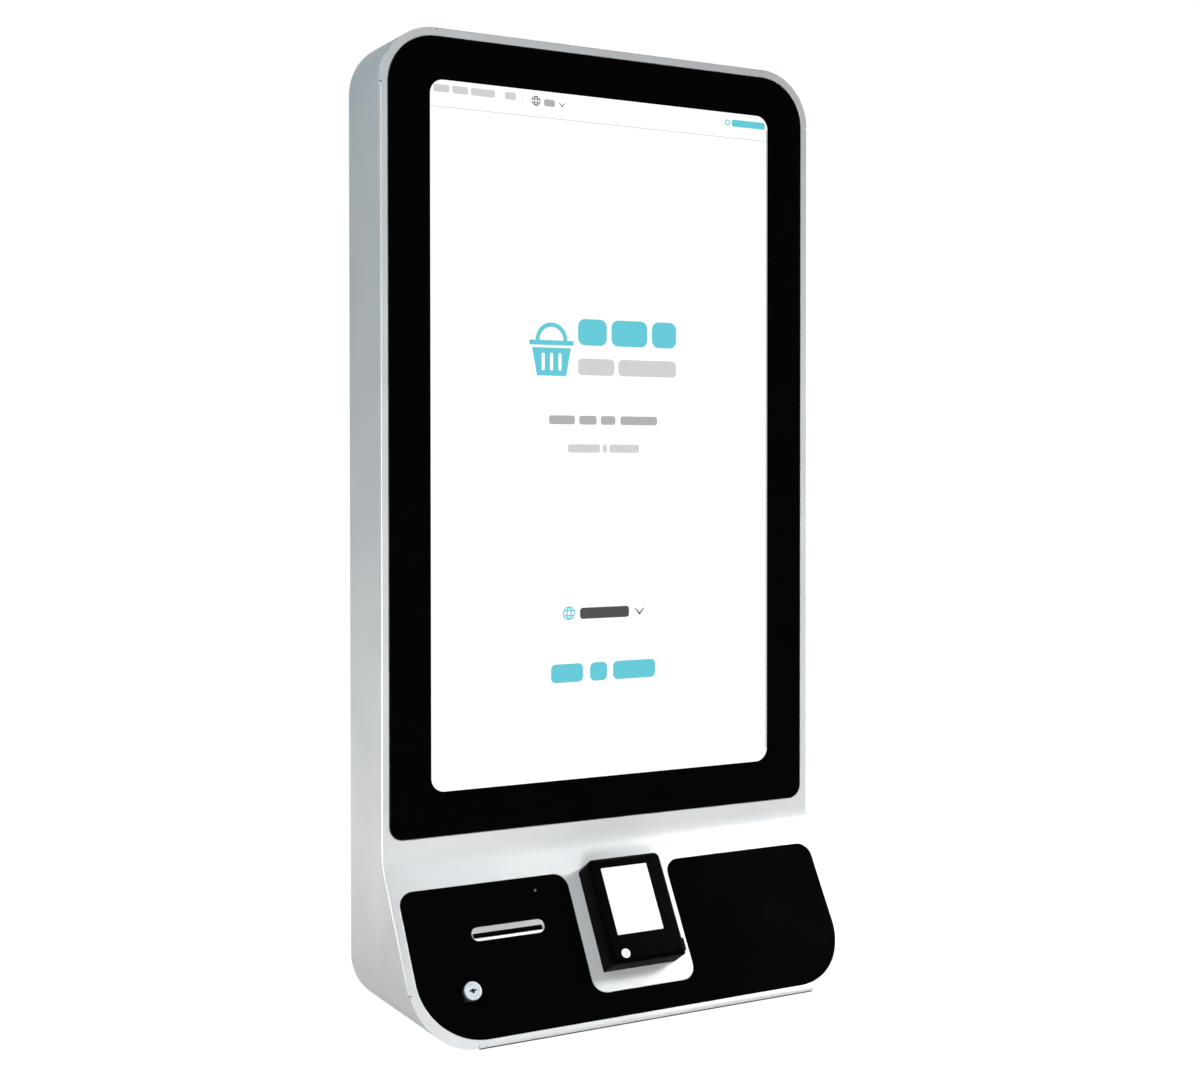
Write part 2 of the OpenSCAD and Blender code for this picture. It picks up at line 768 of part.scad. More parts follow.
// A spur gear with straight-sided teeth, module 1, teeth at angles from a start
module spur(teeth, start, width) {
    root_r = teeth / 2 - 1.1;
    tip_r = teeth / 2 + 0.8;
    union() {
        cylinder(r = root_r, h = width);
        for (i = [0:teeth - 1]) rotate(start + i * 360 / teeth) linear_extrude(width)
            polygon([[root_r - 2, -0.95], [root_r - 2, 0.95], [tip_r, 0.35], [tip_r, -0.35]]);
    }
}

module platen_gear() color([0.9, 0.9, 0.88])
    at_chin(printer_u + gear_u, platen_s, platen_d) rotate([0, 90, 0])
        spur(gear_teeth, -mesh_angle, 4);

module motor_pinion() color([0.85, 0.7, 0.35]) {
    at_chin(printer_u + gear_u, motor_s, motor_d) rotate([0, 90, 0])
        spur(pinion_teeth, 180 - mesh_angle + 180 / pinion_teeth, 4);
    cross_rod(motor_s, motor_d, 1.5, chassis_in - 0.4, gear_u);
}

module printer_motor() color(steel) difference() {
    union() {
        cross_rod(motor_s, motor_d, motor_r, 14, chassis_in);
        cross_rod(motor_s, motor_d, 3.3, chassis_in, chassis_in + chassis_t);
    }
    cross_rod(motor_s, motor_d, 1.6, chassis_in - 0.8, chassis_in + 5);
}

// Thermal head bar on two arms that swing away from the platen
module print_head() color([0.25, 0.25, 0.28]) {
    chin_block([printer_u - 40.5, printer_u + 40.5], [75.4, 77.6], [8.4, 27]);
    for (u = [-38, 36]) difference() {
        union() {
            chin_block([printer_u + u, printer_u + u + 2], [70, 75.4], [10, 36]);
            cross_rod(head_s, head_d, 4, u, u + 2);
        }
        cross_rod(head_s, head_d, head_rod_r + 0.05, u - 1, u + 3);
    }
}

module head_pivot() color(steel) cross_rod(head_s, head_d, head_rod_r, -45, 45);

module cutter_blade() color([0.8, 0.8, 0.82]) {
    chin_block([printer_u - 40.5, printer_u + 40.5], [blade_s, blade_s + 10], [blade_d, blade_d + blade_t]);
    chin_block([printer_u - 43.2, printer_u + 43.2], [blade_s + 3, blade_s + 9],
        [blade_d, blade_d + blade_t]);
}

module paper_roll() color([0.97, 0.97, 0.95]) difference() {
    cross_rod(roll_s, roll_d, roll_r, -39.8, 39.8);
    cross_rod(roll_s, roll_d, core_r, -50, 50);
}

module roll_core() color([0.6, 0.45, 0.3]) difference() {
    cross_rod(roll_s, roll_d, core_r, -40.2, 40.2);
    cross_rod(roll_s, roll_d, spindle_r + 0.08, -50, 50);
}

module roll_spindle() color(dark) {
    cross_rod(roll_s, roll_d, spindle_r, -chassis_in, chassis_in);
    cross_rod(roll_s, roll_d, spindle_r - 3, -chassis_in - 3, chassis_in + 3);
}

// ---------- cam lock ----------

module lock_body() color(steel) at_chin(lock_u, lock_s) difference() {
    union() {
        cylinder(r = lock_r, h = lock_out - 0.8);
        translate([0, 0, lock_out - 0.8]) cylinder(r1 = lock_r, r2 = lock_r - 0.8, h = 0.8);
        translate([0, 0, -barrel_l]) cylinder(r = barrel_r, h = barrel_l);
    }
    translate([0, 0, -barrel_l - 1]) cylinder(r = plug_r + fit, h = barrel_l + lock_out + 2);
}

module lock_nut() color(steel) at_chin(lock_u, lock_s, plate_back + 4) difference() {
    cylinder(r = 12.5, h = 4, $fn = 6);
    translate([0, 0, -1]) cylinder(r = barrel_r + 0.02, h = 6);
}

module lock_plug() color([0.85, 0.85, 0.86]) at_chin(lock_u, lock_s) difference() {
    translate([0, 0, -cam_d]) cylinder(r = plug_r, h = cam_d + lock_out - 0.3);
    translate([-4, -0.8, lock_out - 6]) cube([8, 1.6, 8]);
    translate([-1.2, -2, lock_out - 6]) cube([2.4, 1.6, 8]);
}

module lock_cam() color(steel) at_chin(lock_u, lock_s, cam_d + cam_t) difference() {
    union() {
        cylinder(r = cam_w / 2, h = cam_t);
        translate([-cam_w / 2, 0, 0]) cube([cam_w, cam_l, cam_t]);
    }
    translate([0, 0, -1]) cylinder(r = 2, h = cam_t + 2);
}

module cam_screw() color(steel) at_chin(lock_u, lock_s, cam_d + cam_t + 2.2) {
    cylinder(r = 3.8, h = 2.2);
    cylinder(r = 2, h = cam_t + 2.2);
}

// ---------- payment terminal ----------

module terminal_screw_holes(r) {
    for (u = screw_us, s = screw_ss) at_chin(terminal_u + u, terminal_s + s, 20) cylinder(r = r, h = 26);
}

// Rounded outline of the terminal, its centre on the origin
module terminal_outline(inset) {
    w = terminal_w - 2 * inset;
    l = terminal_l - 2 * inset;
    r = 6 - inset / 2;
    square([w - 2 * r, l], center = true);
    square([w, l - 2 * r], center = true);
    for (x = [-1, 1], y = [-1, 1]) translate([x * (w / 2 - r), y * (l / 2 - r)]) circle(r);
}

module at_terminal(h) on_chin() {
    translate([terminal_u, -terminal_s - terminal_l / 2, h]) children();
}

module terminal_case() color(black) difference() {
    at_terminal(0) linear_extrude(terminal_t - face_t) terminal_outline(0);
    // pocket in the lower right corner for the card reader
    at_terminal(2) translate([terminal_w / 2 - 12, -terminal_l / 2 - 1, 0])
        cube([20, 20, terminal_t]);
    terminal_screw_holes(2);
    at_terminal(-1) translate([0, 4, 0]) cylinder(r = 8, h = 9);
}

// Front cover, chamfered on all four sides
module terminal_face() color(black) difference() {
    intersection() {
        at_terminal(terminal_t - face_t) linear_extrude(face_t) terminal_outline(0);
        at_terminal(terminal_t - face_t) rotate([90, 0, 0])
            linear_extrude(terminal_l + 10, center = true) polygon([
                [-terminal_w / 2, 0], [terminal_w / 2, 0], [terminal_w / 2, face_t - chamfer],
                [terminal_w / 2 - chamfer, face_t], [chamfer - terminal_w / 2, face_t],
                [-terminal_w / 2, face_t - chamfer]
            ]);
        at_terminal(terminal_t - face_t) rotate([90, 0, 90])
            linear_extrude(terminal_w + 10, center = true) polygon([
                [-terminal_l / 2, 0], [terminal_l / 2, 0], [terminal_l / 2, face_t - chamfer],
                [terminal_l / 2 - chamfer, face_t], [chamfer - terminal_l / 2, face_t],
                [-terminal_l / 2, face_t - chamfer]
            ]);
    }
    at_terminal(terminal_t - face_t - 1) translate([terminal_w / 2 - 12, -terminal_l / 2 - 1, 0])
        cube([20, 20, 4]);
    at_chin(display_u, display_s, 1.4 - terminal_t) translate([-26.3, -34.8, 0]) cube([52.6, 69.6, 3]);
    at_chin(button_u, button_s, face_t + 1 - terminal_t) cylinder(r = button_r + fit, h = face_t + 3);
}

module terminal_display() color([0.97, 0.98, 1]) at_chin(display_u, display_s, 1.4 - terminal_t)
    translate([-26.1, -34.6, 0]) cube([52.2, 69.2, 1.2]);

module terminal_button() color([0.95, 0.95, 0.95])
    at_chin(button_u, button_s, face_t - 2 - terminal_t) cylinder(r = button_r, h = face_t - 1.6);

// Card reader block that stands proud of the lower right corner
module card_reader() color(black) at_terminal(2.2) difference() {
    translate([terminal_w / 2 - 11.8, -terminal_l / 2 + 0.2, 0]) linear_extrude(terminal_t - face_t + 0.5)
        polygon([[0, 0], [9, 0], [15, 5], [15, 16], [11.8, 18.6], [0, 18.6]]);
    translate([terminal_w / 2 - 4, -terminal_l / 2 - 1, 9]) cube([1.6, 18, 1.2]);
}

module terminal_bracket() color(steel) difference() {
    chin_block([terminal_u - 35, terminal_u + 35], [terminal_s + 6, terminal_s + 102],
        [plate_back, plate_back + 2.5]);
    at_chin(terminal_u, terminal_s + 50, plate_back + 4) cylinder(r = 8, h = 5);
    terminal_screw_holes(2.2);
}

module terminal_screws() color(steel) {
    for (u = screw_us, s = screw_ss) {
        at_chin(terminal_u + u, terminal_s + s, plate_back + 2.5) cylinder(r = 2, h = plate_back + 8);
        at_chin(terminal_u + u, terminal_s + s, plate_back + 5) cylinder(r = 3.8, h = 2.5);
    }
}

// ---------- assembly ----------

wall_plate();
back_panel();
side_panels();
top_panel();
bottom_panel();
front_flange();
door_gasket();
cabinet_hinges();
hinge_pins();
lock_striker();
computer_case();
computer_heat_sink();
main_board();
power_supply();
power_inlet();
power_switch();
power_rocker();
network_jacks();
cable_grommet();
fan_frame();
fan_rotor();
speakers();
cabinet_fixings();
front_bezel();
chin_skin();
door_frame();
door_hinges();
touch_glass();
glass_tape();
lcd_panel();
lcd_backlight();
lcd_brackets();
display_board();
lower_panel();
chin_backplate();
receipt_mouth();
printer_chassis();
platen_roller();
platen_gear();
motor_pinion();
printer_motor();
print_head();
head_pivot();
cutter_blade();
paper_roll();
roll_core();
roll_spindle();
status_led();
lock_body();
lock_nut();
lock_plug();
lock_cam();
cam_screw();
terminal_case();
terminal_face();
terminal_display();
terminal_button();
card_reader();
terminal_bracket();
terminal_screws();
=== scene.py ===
"""Looks of the wall-mounted self checkout kiosk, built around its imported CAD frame.

The kiosk faces -Y, +Z is up and the origin is the centre of the wall bolts. Shapes are worked
out in millimetres, with heights counted from the cabinet bottom, and become metres in
Shape.make().
"""

import json
import math

import bmesh
import bpy
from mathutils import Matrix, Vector
from mathutils.geometry import delaunay_2d_cdt


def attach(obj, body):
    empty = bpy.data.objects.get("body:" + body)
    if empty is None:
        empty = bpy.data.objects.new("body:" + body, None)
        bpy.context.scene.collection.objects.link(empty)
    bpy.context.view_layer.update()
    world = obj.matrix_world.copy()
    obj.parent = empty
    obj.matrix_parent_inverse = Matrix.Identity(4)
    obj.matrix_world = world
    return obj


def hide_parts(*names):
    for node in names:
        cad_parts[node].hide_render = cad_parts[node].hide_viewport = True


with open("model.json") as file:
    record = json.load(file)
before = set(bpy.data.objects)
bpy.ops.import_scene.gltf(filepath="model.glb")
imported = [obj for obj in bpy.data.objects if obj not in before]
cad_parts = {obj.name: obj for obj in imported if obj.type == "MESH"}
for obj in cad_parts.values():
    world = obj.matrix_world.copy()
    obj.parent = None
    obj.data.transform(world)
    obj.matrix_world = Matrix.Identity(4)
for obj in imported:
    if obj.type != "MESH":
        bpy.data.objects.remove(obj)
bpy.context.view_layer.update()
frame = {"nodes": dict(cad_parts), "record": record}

MM = 0.001

# Cabinet, as in the CAD model
MOUNT_Z = 560
BODY_W = 496
BODY_H = 974
UPPER_DEPTH = 86
LIP_DEPTH = 185
CHIN_H = 161
BEND_R = 36
TOP_R = 58
BOTTOM_R = 55
SHEET = 1.5
SKIN = 2
RIM = 4.3
SEAM = 4.8
TILT = math.atan2(LIP_DEPTH - UPPER_DEPTH, CHIN_H)
BEND_LOW = CHIN_H - 12.5
BEND_HIGH = CHIN_H + 10.5
BEND_STRIPS = 22
SHEET_EASE = 0.25
DOOR_EASE = 0.3

# Display
GLASS_W = 480
GLASS_H = 784
GLASS_T = 3.2
GLASS_Z = 181.5
GLASS_TOP_R = 50
GLASS_LOW_R = 14.5
GLASS_GAP = 0.5
SCREEN_W = 392.8
SCREEN_H = 698.4
SCREEN_Z = 225.2
SCREEN_R = 14

# Chin, u across and s down the slope from the junction
PANEL_HALF = 238.8
BAY_HALF = 58
PANEL_TOP = 31.3
PANEL_LOW = 181.9
BAY_LOW = 157.1
PANEL_BIG_R = 61
PANEL_R = 15
PANEL_GAP = 0.3
MOUTH_U = -133.6
MOUTH_S = 81.5
MOUTH_W = 79
MOUTH_H = 14.5
SLIT_HALF = 37.2
SLIT_HIGH = 1.5
SLIT_LOW = -3.7
SCOOP_DEPTH = 1.6
LIP_DROP = 0.9
LIP_ROUND = 1.4
MOUTH_FACE = -0.2
MOUTH_BACK = -7
LED_U = -95.3
LED_S = 45.4
LOCK_U = -186
LOCK_S = 136
PLUG_FACE = 5.7
PLUG_BACK = -14.3
KEYWAY_FLOOR = 0.5

# Payment terminal, its centre on the chin
TERM_U = -1.7
TERM_S = 83
TERM_W = 83.4
TERM_L = 108
TERM_T = 26
FACE_T = 8
TERM_R = 6
TERM_CUT = 5
TERM_CHAMFER = 3.4
TERM_SPLIT = TERM_T - FACE_T
WINDOW = (-29.7, -26.2, 22.9, 43.4)
WINDOW_DEPTH = 1.4
DISPLAY = (-29.5, -26.0, 22.7, 43.2)
BUTTON_AT = (-25.9, -45)
BUTTON_HOLE_R = 5.0
BUTTON_WELL = 7.85  # clears the key at the end of its stroke

# The door's rolled edge runs between these notches
NOTCH_TOP = 915
NOTCH_LOW = 49.6
NOTCH_X = 188.7
NOTCH_W = 1.2
NOTCH_IN = 2.5
NOTCH_STEP = 0.4
LEVEL_BAND = 20  # the door's edge this near the top or bottom isn't upright
EDGE_R = {"rolled": 1.0, "plain": 0.35}
BEAD = [(3.2, 0.0), (1.9, 0.15), (0.6, 0.6), (-0.6, 1.3), (-1.6, 2.2), (-2.2, 3.2), (-2.4, 4.2)]
# From this bead step on, the door's turned-under lower edge is painted black as shade
BEAD_SHADE_FROM = 3

SMOOTH_ANGLE = math.radians(32)
EASE_STEPS = 3
PIERCED_BANDS = (2, 5)  # of sheet_rings: the sheet's outer and inner face
NOISE_ROUGHNESS = 0.55

# Distances taken as none: in millimetres, then in metres
TINY = 1e-6
NEAR = 1e-4
WELD = 2e-6
DEGENERATE = 1e-7

# Stage, in metres
CAMERA_PLACE = (-0.8826, -1.7264, -0.0153)
CAMERA_TURN = -29.95
CAMERA_TILT = 89.1094
CAMERA_SENSOR = 36
CAMERA_LENS = 54.106
CAMERA_SHIFT = (-0.0502, -0.03746)
FLOOR_Z = -1.35
FLOOR_WIDE = 4
FLOOR_FRONT = 2.3
BACK_REACH = 3.7
BACK_LEFT = 1.4
BACK_RIGHT = 1.2
BACK_TOP = 1.3
BACK_GLOW = 1.04
AIR_TINT = (0.9, 0.96, 1)
AIR_FRONT = 0.09
AIR_BACK = 0.24
AIR_SPAN = (-0.3, 0.2)

# Softboxes: name, place, aim, size, power, beam in degrees, colour
LIGHTS = [
    ("key_right", (2.18, -1.06, 0.91), (0.38, -0.13, -0.45), (0.7, 0.7), 3.2, 33, (1, 1, 1)),
    ("front", (-1.2, -3.8, -0.8), (0, -0.1, -0.05), (1.0, 1.0), 17, 60, (1, 1, 1)),
    ("side_low", (-0.69, 0.1, -0.42), (-0.25, -0.05, -0.36), (0.2, 0.2), 1.2, 150, (1, 0.96, 0.9)),
    ("side_top", (-2.0, -0.6, 1.6), (-0.25, -0.05, 0.2), (0.8, 0.8), 3.4, 60, (0.7, 0.92, 1)),
]


# ---------- places ----------


def front_distance(height, depth):
    """Distance from the wall to the front profile, drawn back by a depth."""
    join = CHIN_H - depth * math.tan(TILT / 2)
    radius = BEND_R + depth
    reach = radius * math.tan(TILT / 2)
    if height >= join + reach:
        return UPPER_DEPTH - depth
    if height <= join - reach * math.cos(TILT):
        return UPPER_DEPTH - depth + (join - height) * math.tan(TILT)
    rise = height - join - reach
    return UPPER_DEPTH - depth + radius - math.sqrt(radius * radius - rise * rise)


def on_front(x, height, depth):
    """A point on the front profile, or a depth behind it."""
    return (x, -front_distance(height, depth), height - MOUNT_Z)


def on_chin(u, s, out=0.0):
    """A point on the chin, or proud of it."""
    y = -(UPPER_DEPTH + s * math.sin(TILT) + out * math.cos(TILT))
    return (u, y, CHIN_H - s * math.cos(TILT) + out * math.sin(TILT) - MOUNT_Z)


def chin_height(s, depth):
    """Height of a point a depth behind the chin."""
    return CHIN_H - s * math.cos(TILT) - depth * math.sin(TILT)


def bend_levels():
    """Heights at which the concave bend is cut into strips."""
    span = BEND_HIGH - BEND_LOW
    return [BEND_LOW + span * i / BEND_STRIPS for i in range(BEND_STRIPS + 1)]


# ---------- outlines ----------


def arc(cx, cy, r, start, end, steps):
    """Points of an arc from one angle to another, in degrees."""
    angles = [math.radians(start + (end - start) * i / steps) for i in range(steps + 1)]
    return [(cx + r * math.cos(a), cy + r * math.sin(a)) for a in angles]


def circle(cx, cy, r, steps=48):
    return arc(cx, cy, r, 0, 360 - 360 / steps, steps - 1)


def stadium(cx, cy, w, h, steps=12):
    half = (w - h) / 2
    return arc(cx + half, cy, h / 2, -90, 90, steps) + arc(cx - half, cy, h / 2, 90, 270, steps)


def stadium_up(cx, cy, w, h):
    """Upright stadium."""
    return [(cx - y, cy + x) for x, y in stadium(0, 0, h, w, 6)]


def tablet(w, h, r_top, r_low, base, steps=26):
    """Upright rounded outline standing at a height, anticlockwise from its lower right."""
    right = w / 2
    top = base + h
    return (
        arc(right - r_low, base + r_low, r_low, -90, 0, steps)
        + arc(right - r_top, top - r_top, r_top, 0, 90, steps)
        + arc(r_top - right, top - r_top, r_top, 90, 180, steps)
        + arc(r_low - right, base + r_low, r_low, 180, 270, steps)
    )


def glass_opening(grow):
    """The door's opening round the glass, grown outward."""
    return tablet(GLASS_W + 2 * GLASS_GAP + 2 * grow, GLASS_H + 2 * GLASS_GAP + 2 * grow,
                  GLASS_TOP_R + GLASS_GAP + grow, GLASS_LOW_R + GLASS_GAP + grow,
                  GLASS_Z - GLASS_GAP - grow)


def block(x0, y0, x1, y1, r=0.0, steps=5):
    """Rectangle with round corners, anticlockwise."""
    if r <= 0:
        return [(x0, y0), (x1, y0), (x1, y1), (x0, y1)]
    return (
        arc(x1 - r, y0 + r, r, -90, 0, steps)
        + arc(x1 - r, y1 - r, r, 0, 90, steps)
        + arc(x0 + r, y1 - r, r, 90, 180, steps)
        + arc(x0 + r, y0 + r, r, 180, 270, steps)
    )


def panel_outline(grow=0.0):
    """Outline of the lower panel in u and -s, grown outward, anticlockwise."""
    low = -PANEL_LOW - grow
    high = -PANEL_TOP + grow
    left = BAY_HALF - grow
    right = PANEL_HALF + grow
    big = PANEL_BIG_R + grow
    small = PANEL_R + grow
    inner = PANEL_R - grow
    half = [(0, low)]
    half += arc(right - big, low + big, big, -90, 0, 26)
    half += arc(right - small, high - small, small, 0, 90, 12)
    half += arc(left + small, high - small, small, 90, 180, 12)
    half += arc(left - inner, -BAY_LOW + grow + inner, inner, 0, -90, 12)
    return half + [(-x, y) for x, y in reversed(half[1:])]


def cut_at(outline, axis, values):
    """The outline with an extra point wherever an edge crosses one of the values."""
    out = []
    for i, a in enumerate(outline):
        b = outline[(i + 1) % len(outline)]
        out.append(a)
        low, high = sorted((a[axis], b[axis]))
        if high - low < TINY:
            continue
        crossed = [v for v in values if low + NEAR < v < high - NEAR]
        shares = sorted((v - a[axis]) / (b[axis] - a[axis]) for v in crossed)
        out += [tuple(p + (q - p) * t for p, q in zip(a, b)) for t in shares]
    return out


def normals_of(outline):
    """Each point of an anticlockwise outline with its outward normal."""
    out = []
    for i, (x, y) in enumerate(outline):
        ax, ay = outline[i - 1]
        bx, by = outline[(i + 1) % len(outline)]
        a = Vector((y - ay, ax - x)).normalized()
        b = Vector((by - y, x - bx)).normalized()
        n = (a + b).normalized()
        out.append((x, y, n.x, n.y))
    return out


def inside(x, y, outline):
    """Whether a point lies in an outline."""
    hit = False
    for i, (ax, ay) in enumerate(outline):
        bx, by = outline[i - 1]
        if (ay > y) != (by > y) and x < (bx - ax) * (y - ay) / (by - ay) + ax:
            hit = not hit
    return hit


def fill(outlines, levels=()):
    """Points and triangles of the first outline less the others, cut along level lines."""
    points = []
    edges = []
    for outline in outlines:
        start = len(points)
        count = len(outline)
        points += outline
        edges += [(start + i, start + (i + 1) % count) for i in range(count)]
    reach = max(abs(p[0]) for p in outlines[0]) + 1
    for level in levels:
        edges.append((len(points), len(points) + 1))
        points += [(-reach, level), (reach, level)]
    found = delaunay_2d_cdt([Vector(p) for p in points], edges, [], 0, 1e-5)
    flat = [(v.x, v.y) for v in found[0]]
    faces = []
    for face in found[2]:
        x = sum(flat[i][0] for i in face) / len(face)
        y = sum(flat[i][1] for i in face) / len(face)
        if inside(x, y, outlines[0]) and not any(inside(x, y, hole) for hole in outlines[1:]):
            faces.append(face)
    return flat, faces


# ---------- building ----------


def new_object(name, data):
    """An object in the scene that holds the data."""
    obj = bpy.data.objects.new(name, data)
    bpy.context.scene.collection.objects.link(obj)
    return obj


class Shape:
    """Collects points and faces in millimetres, and makes one object of them."""

    def __init__(self):
        self.points = []
        self.faces = []
        self.marks = []

    def add(self, points, faces, mark=0):
        start = len(self.points)
        self.points += points
        self.faces += [tuple(start + i for i in face) for face in faces]
        self.marks += [mark] * len(faces)

    def loft(self, loops, mark=0):
        """Bands between loops that have the same number of points."""
        count = len(loops[0])
        points = [p for loop in loops for p in loop]
        faces = []
        for k in range(len(loops) - 1):
            low = k * count
            for i in range(count):
                j = (i + 1) % count
                faces.append((low + i, low + j, low + count + j, low + count + i))
        self.add(points, faces, mark)

    def cap(self, outlines, place, mark=0, levels=()):
        """A filled face between outlines, each point put in place."""
        flat, faces = fill(outlines, levels)
        used = sorted({i for face in faces for i in face})
        order = {i: n for n, i in enumerate(used)}
        self.add([place(*flat[i]) for i in used], [[order[i] for i in f] for f in faces], mark)

    def slab(self, outlines, place, high, low, edge=0.0, mark=0):
        """A plate between two heights, the first outline less the others, with eased top edges."""
        tops = [ease(o, edge if i == 0 else -edge) for i, o in enumerate(outlines)]
        self.cap(tops, lambda x, y: place(x, y, high), mark)
        self.cap(outlines, lambda x, y: place(x, y, low), mark)
        for top, outline in zip(tops, outlines):
            loops = [[place(x, y, high) for x, y in top]]
            if edge > 0:
                loops += eased_loops(outline, top, place, high, edge)
            loops.append([place(x, y, low) for x, y in outline])
            self.loft(loops, mark)

    def make(self, name, body, materials, replaces=(), slot=None):
        """Makes the object: welded, its faces outward and smooth up to an angle."""
        mesh = bpy.data.meshes.new(name)
        mesh.from_pydata([tuple(c * MM for c in p) for p in self.points], [], self.faces)
        for i, mark in enumerate(self.marks):
            mesh.polygons[i].material_index = mark
        bm = bmesh.new()
        bm.from_mesh(mesh)
        bmesh.ops.remove_doubles(bm, verts=bm.verts, dist=WELD)
        bmesh.ops.dissolve_degenerate(bm, edges=bm.edges, dist=DEGENERATE)
        bmesh.ops.recalc_face_normals(bm, faces=bm.faces)
        bm.to_mesh(mesh)
        bm.free()
        mesh.shade_smooth()
        mesh.set_sharp_from_angle(angle=SMOOTH_ANGLE)
        obj = new_object(name, mesh)
        for material in materials:
            mesh.materials.append(material)
        weighted = obj.modifiers.new("even_normals", "WEIGHTED_NORMAL")
        weighted.keep_sharp = True
        weighted.weight = 100
        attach(obj, body)
        if replaces:
            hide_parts(*replaces)


def ease(outline, amount):
    """The outline drawn in by an amount along its normals."""
    if amount == 0:
        return list(outline)
    return [(x - nx * amount, y - ny * amount) for x, y, nx, ny in normals_of(outline)]


def eased_loops(outline, top, place, high, edge):
    """Loops that round the top edge from its drawn-in outline to the full one."""
    loops = []
    for k in range(1, EASE_STEPS + 1):
        a = math.pi / 2 * k / EASE_STEPS
        share = math.sin(a)
        drop = edge * (1 - math.cos(a))
        loop = []
        for (x, y), (tx, ty) in zip(outline, top):
            loop.append(place(tx + (x - tx) * share, ty + (y - ty) * share, high - drop))
        loops.append(loop)
    return loops


# ---------- materials ----------


def new_material(name):
    """A material with its nodes, links and main shader."""
    material = bpy.data.materials.new(name)
    material.use_nodes = True
    nodes = material.node_tree.nodes
    shader = nodes["Principled BSDF"]
    return material, nodes, material.node_tree.links, shader


def noise(nodes, links, scale, detail=3.0, stretch=(1, 1, 1)):
    """Noise in the object's own coordinates, in features per metre."""
    coords = nodes.new("ShaderNodeTexCoord")
    mapping = nodes.new("ShaderNodeMapping")
    mapping.inputs["Scale"].default_value = stretch
    texture = nodes.new("ShaderNodeTexNoise")
    texture.inputs["Scale"].default_value = scale
    texture.inputs["Detail"].default_value = detail
    texture.inputs["Roughness"].default_value = NOISE_ROUGHNESS
    links.new(coords.outputs["Object"], mapping.inputs["Vector"])
    links.new(mapping.outputs["Vector"], texture.inputs["Vector"])
    return texture.outputs["Fac"]


def spread(nodes, links, value, low, high, ends=(0.3, 0.7)):
    """The value stretched to a range."""
    remap = nodes.new("ShaderNodeMapRange")
    remap.inputs["From Min"].default_value = ends[0]
    remap.inputs["From Max"].default_value = ends[1]
    remap.inputs["To Min"].default_value = low
    remap.inputs["To Max"].default_value = high
    links.new(value, remap.inputs["Value"])
    return remap.outputs["Result"]


def tint(nodes, links, value, dark, light):
    """A colour between two, by a value."""
    mix = nodes.new("ShaderNodeMix")
    mix.data_type = "RGBA"
    mix.inputs["A"].default_value = (*dark, 1)
    mix.inputs["B"].default_value = (*light, 1)
    links.new(value, mix.inputs["Factor"])
    return mix.outputs["Result"]


def relief(nodes, links, value, strength, distance):
    """A surface normal raised by the value."""
    bump = nodes.new("ShaderNodeBump")
    bump.inputs["Strength"].default_value = strength
    bump.inputs["Distance"].default_value = distance
    links.new(value, bump.inputs["Height"])
    return bump.outputs["Normal"]


def finish(name, colour, rough, metal=0.0, grain=900, depth=0.00003, strength=0.3, vary=0.05,
           cloud=14, stretch=(1, 1, 1), specular=0.5, coat=0.0, coat_rough=0.1, rough_vary=0.06):
    """A worked surface: a fine grain in relief, faint clouds of colour and uneven gloss."""
    material, nodes, links, shader = new_material(name)
    shader.inputs["Metallic"].default_value = metal
    shader.inputs["Specular IOR Level"].default_value = specular
    shader.inputs["Coat Weight"].default_value = coat
    shader.inputs["Coat Roughness"].default_value = coat_rough
    clouds = noise(nodes, links, cloud, 4.0)
    fine = noise(nodes, links, grain, 2.0, stretch)
    dark = tuple(c * (1 - vary) for c in colour)
    light = tuple(min(1, c * (1 + vary)) for c in colour)
    mixed = nodes.new("ShaderNodeMath")
    mixed.operation = "MULTIPLY_ADD"
    mixed.inputs[1].default_value = 0.5
    links.new(clouds, mixed.inputs[0])
    half = nodes.new("ShaderNodeMath")
    half.operation = "MULTIPLY"
    half.inputs[1].default_value = 0.5
    links.new(fine, half.inputs[0])
    links.new(half.outputs[0], mixed.inputs[2])
    links.new(tint(nodes, links, spread(nodes, links, mixed.outputs[0], 0, 1), dark, light),
              shader.inputs["Base Color"])
    links.new(spread(nodes, links, clouds, rough - rough_vary, rough + rough_vary),
              shader.inputs["Roughness"])
    links.new(relief(nodes, links, fine, strength, depth), shader.inputs["Normal"])
    return material


def board_material():
    """Green circuit board with fine copper runs under the lacquer."""
    material, nodes, links, shader = new_material("board_green")
    coords = nodes.new("ShaderNodeTexCoord")
    swap = nodes.new("ShaderNodeMapping")
    swap.inputs["Rotation"].default_value = (math.radians(90), 0, 0)
    brick = nodes.new("ShaderNodeTexBrick")
    brick.inputs["Scale"].default_value = 90
    brick.inputs["Mortar Size"].default_value = 0.03
    brick.inputs["Color1"].default_value = (0.006, 0.075, 0.035, 1)
    brick.inputs["Color2"].default_value = (0.008, 0.1, 0.045, 1)
    brick.inputs["Mortar"].default_value = (0.05, 0.22, 0.08, 1)
    links.new(coords.outputs["Object"], swap.inputs["Vector"])
    links.new(swap.outputs["Vector"], brick.inputs["Vector"])
    links.new(brick.outputs["Color"], shader.inputs["Base Color"])
    rough = noise(nodes, links, 300)
    links.new(spread(nodes, links, rough, 0.28, 0.45), shader.inputs["Roughness"])
    links.new(relief(nodes, links, brick.outputs["Fac"], 0.4, 0.00005), shader.inputs["Normal"])
    return material


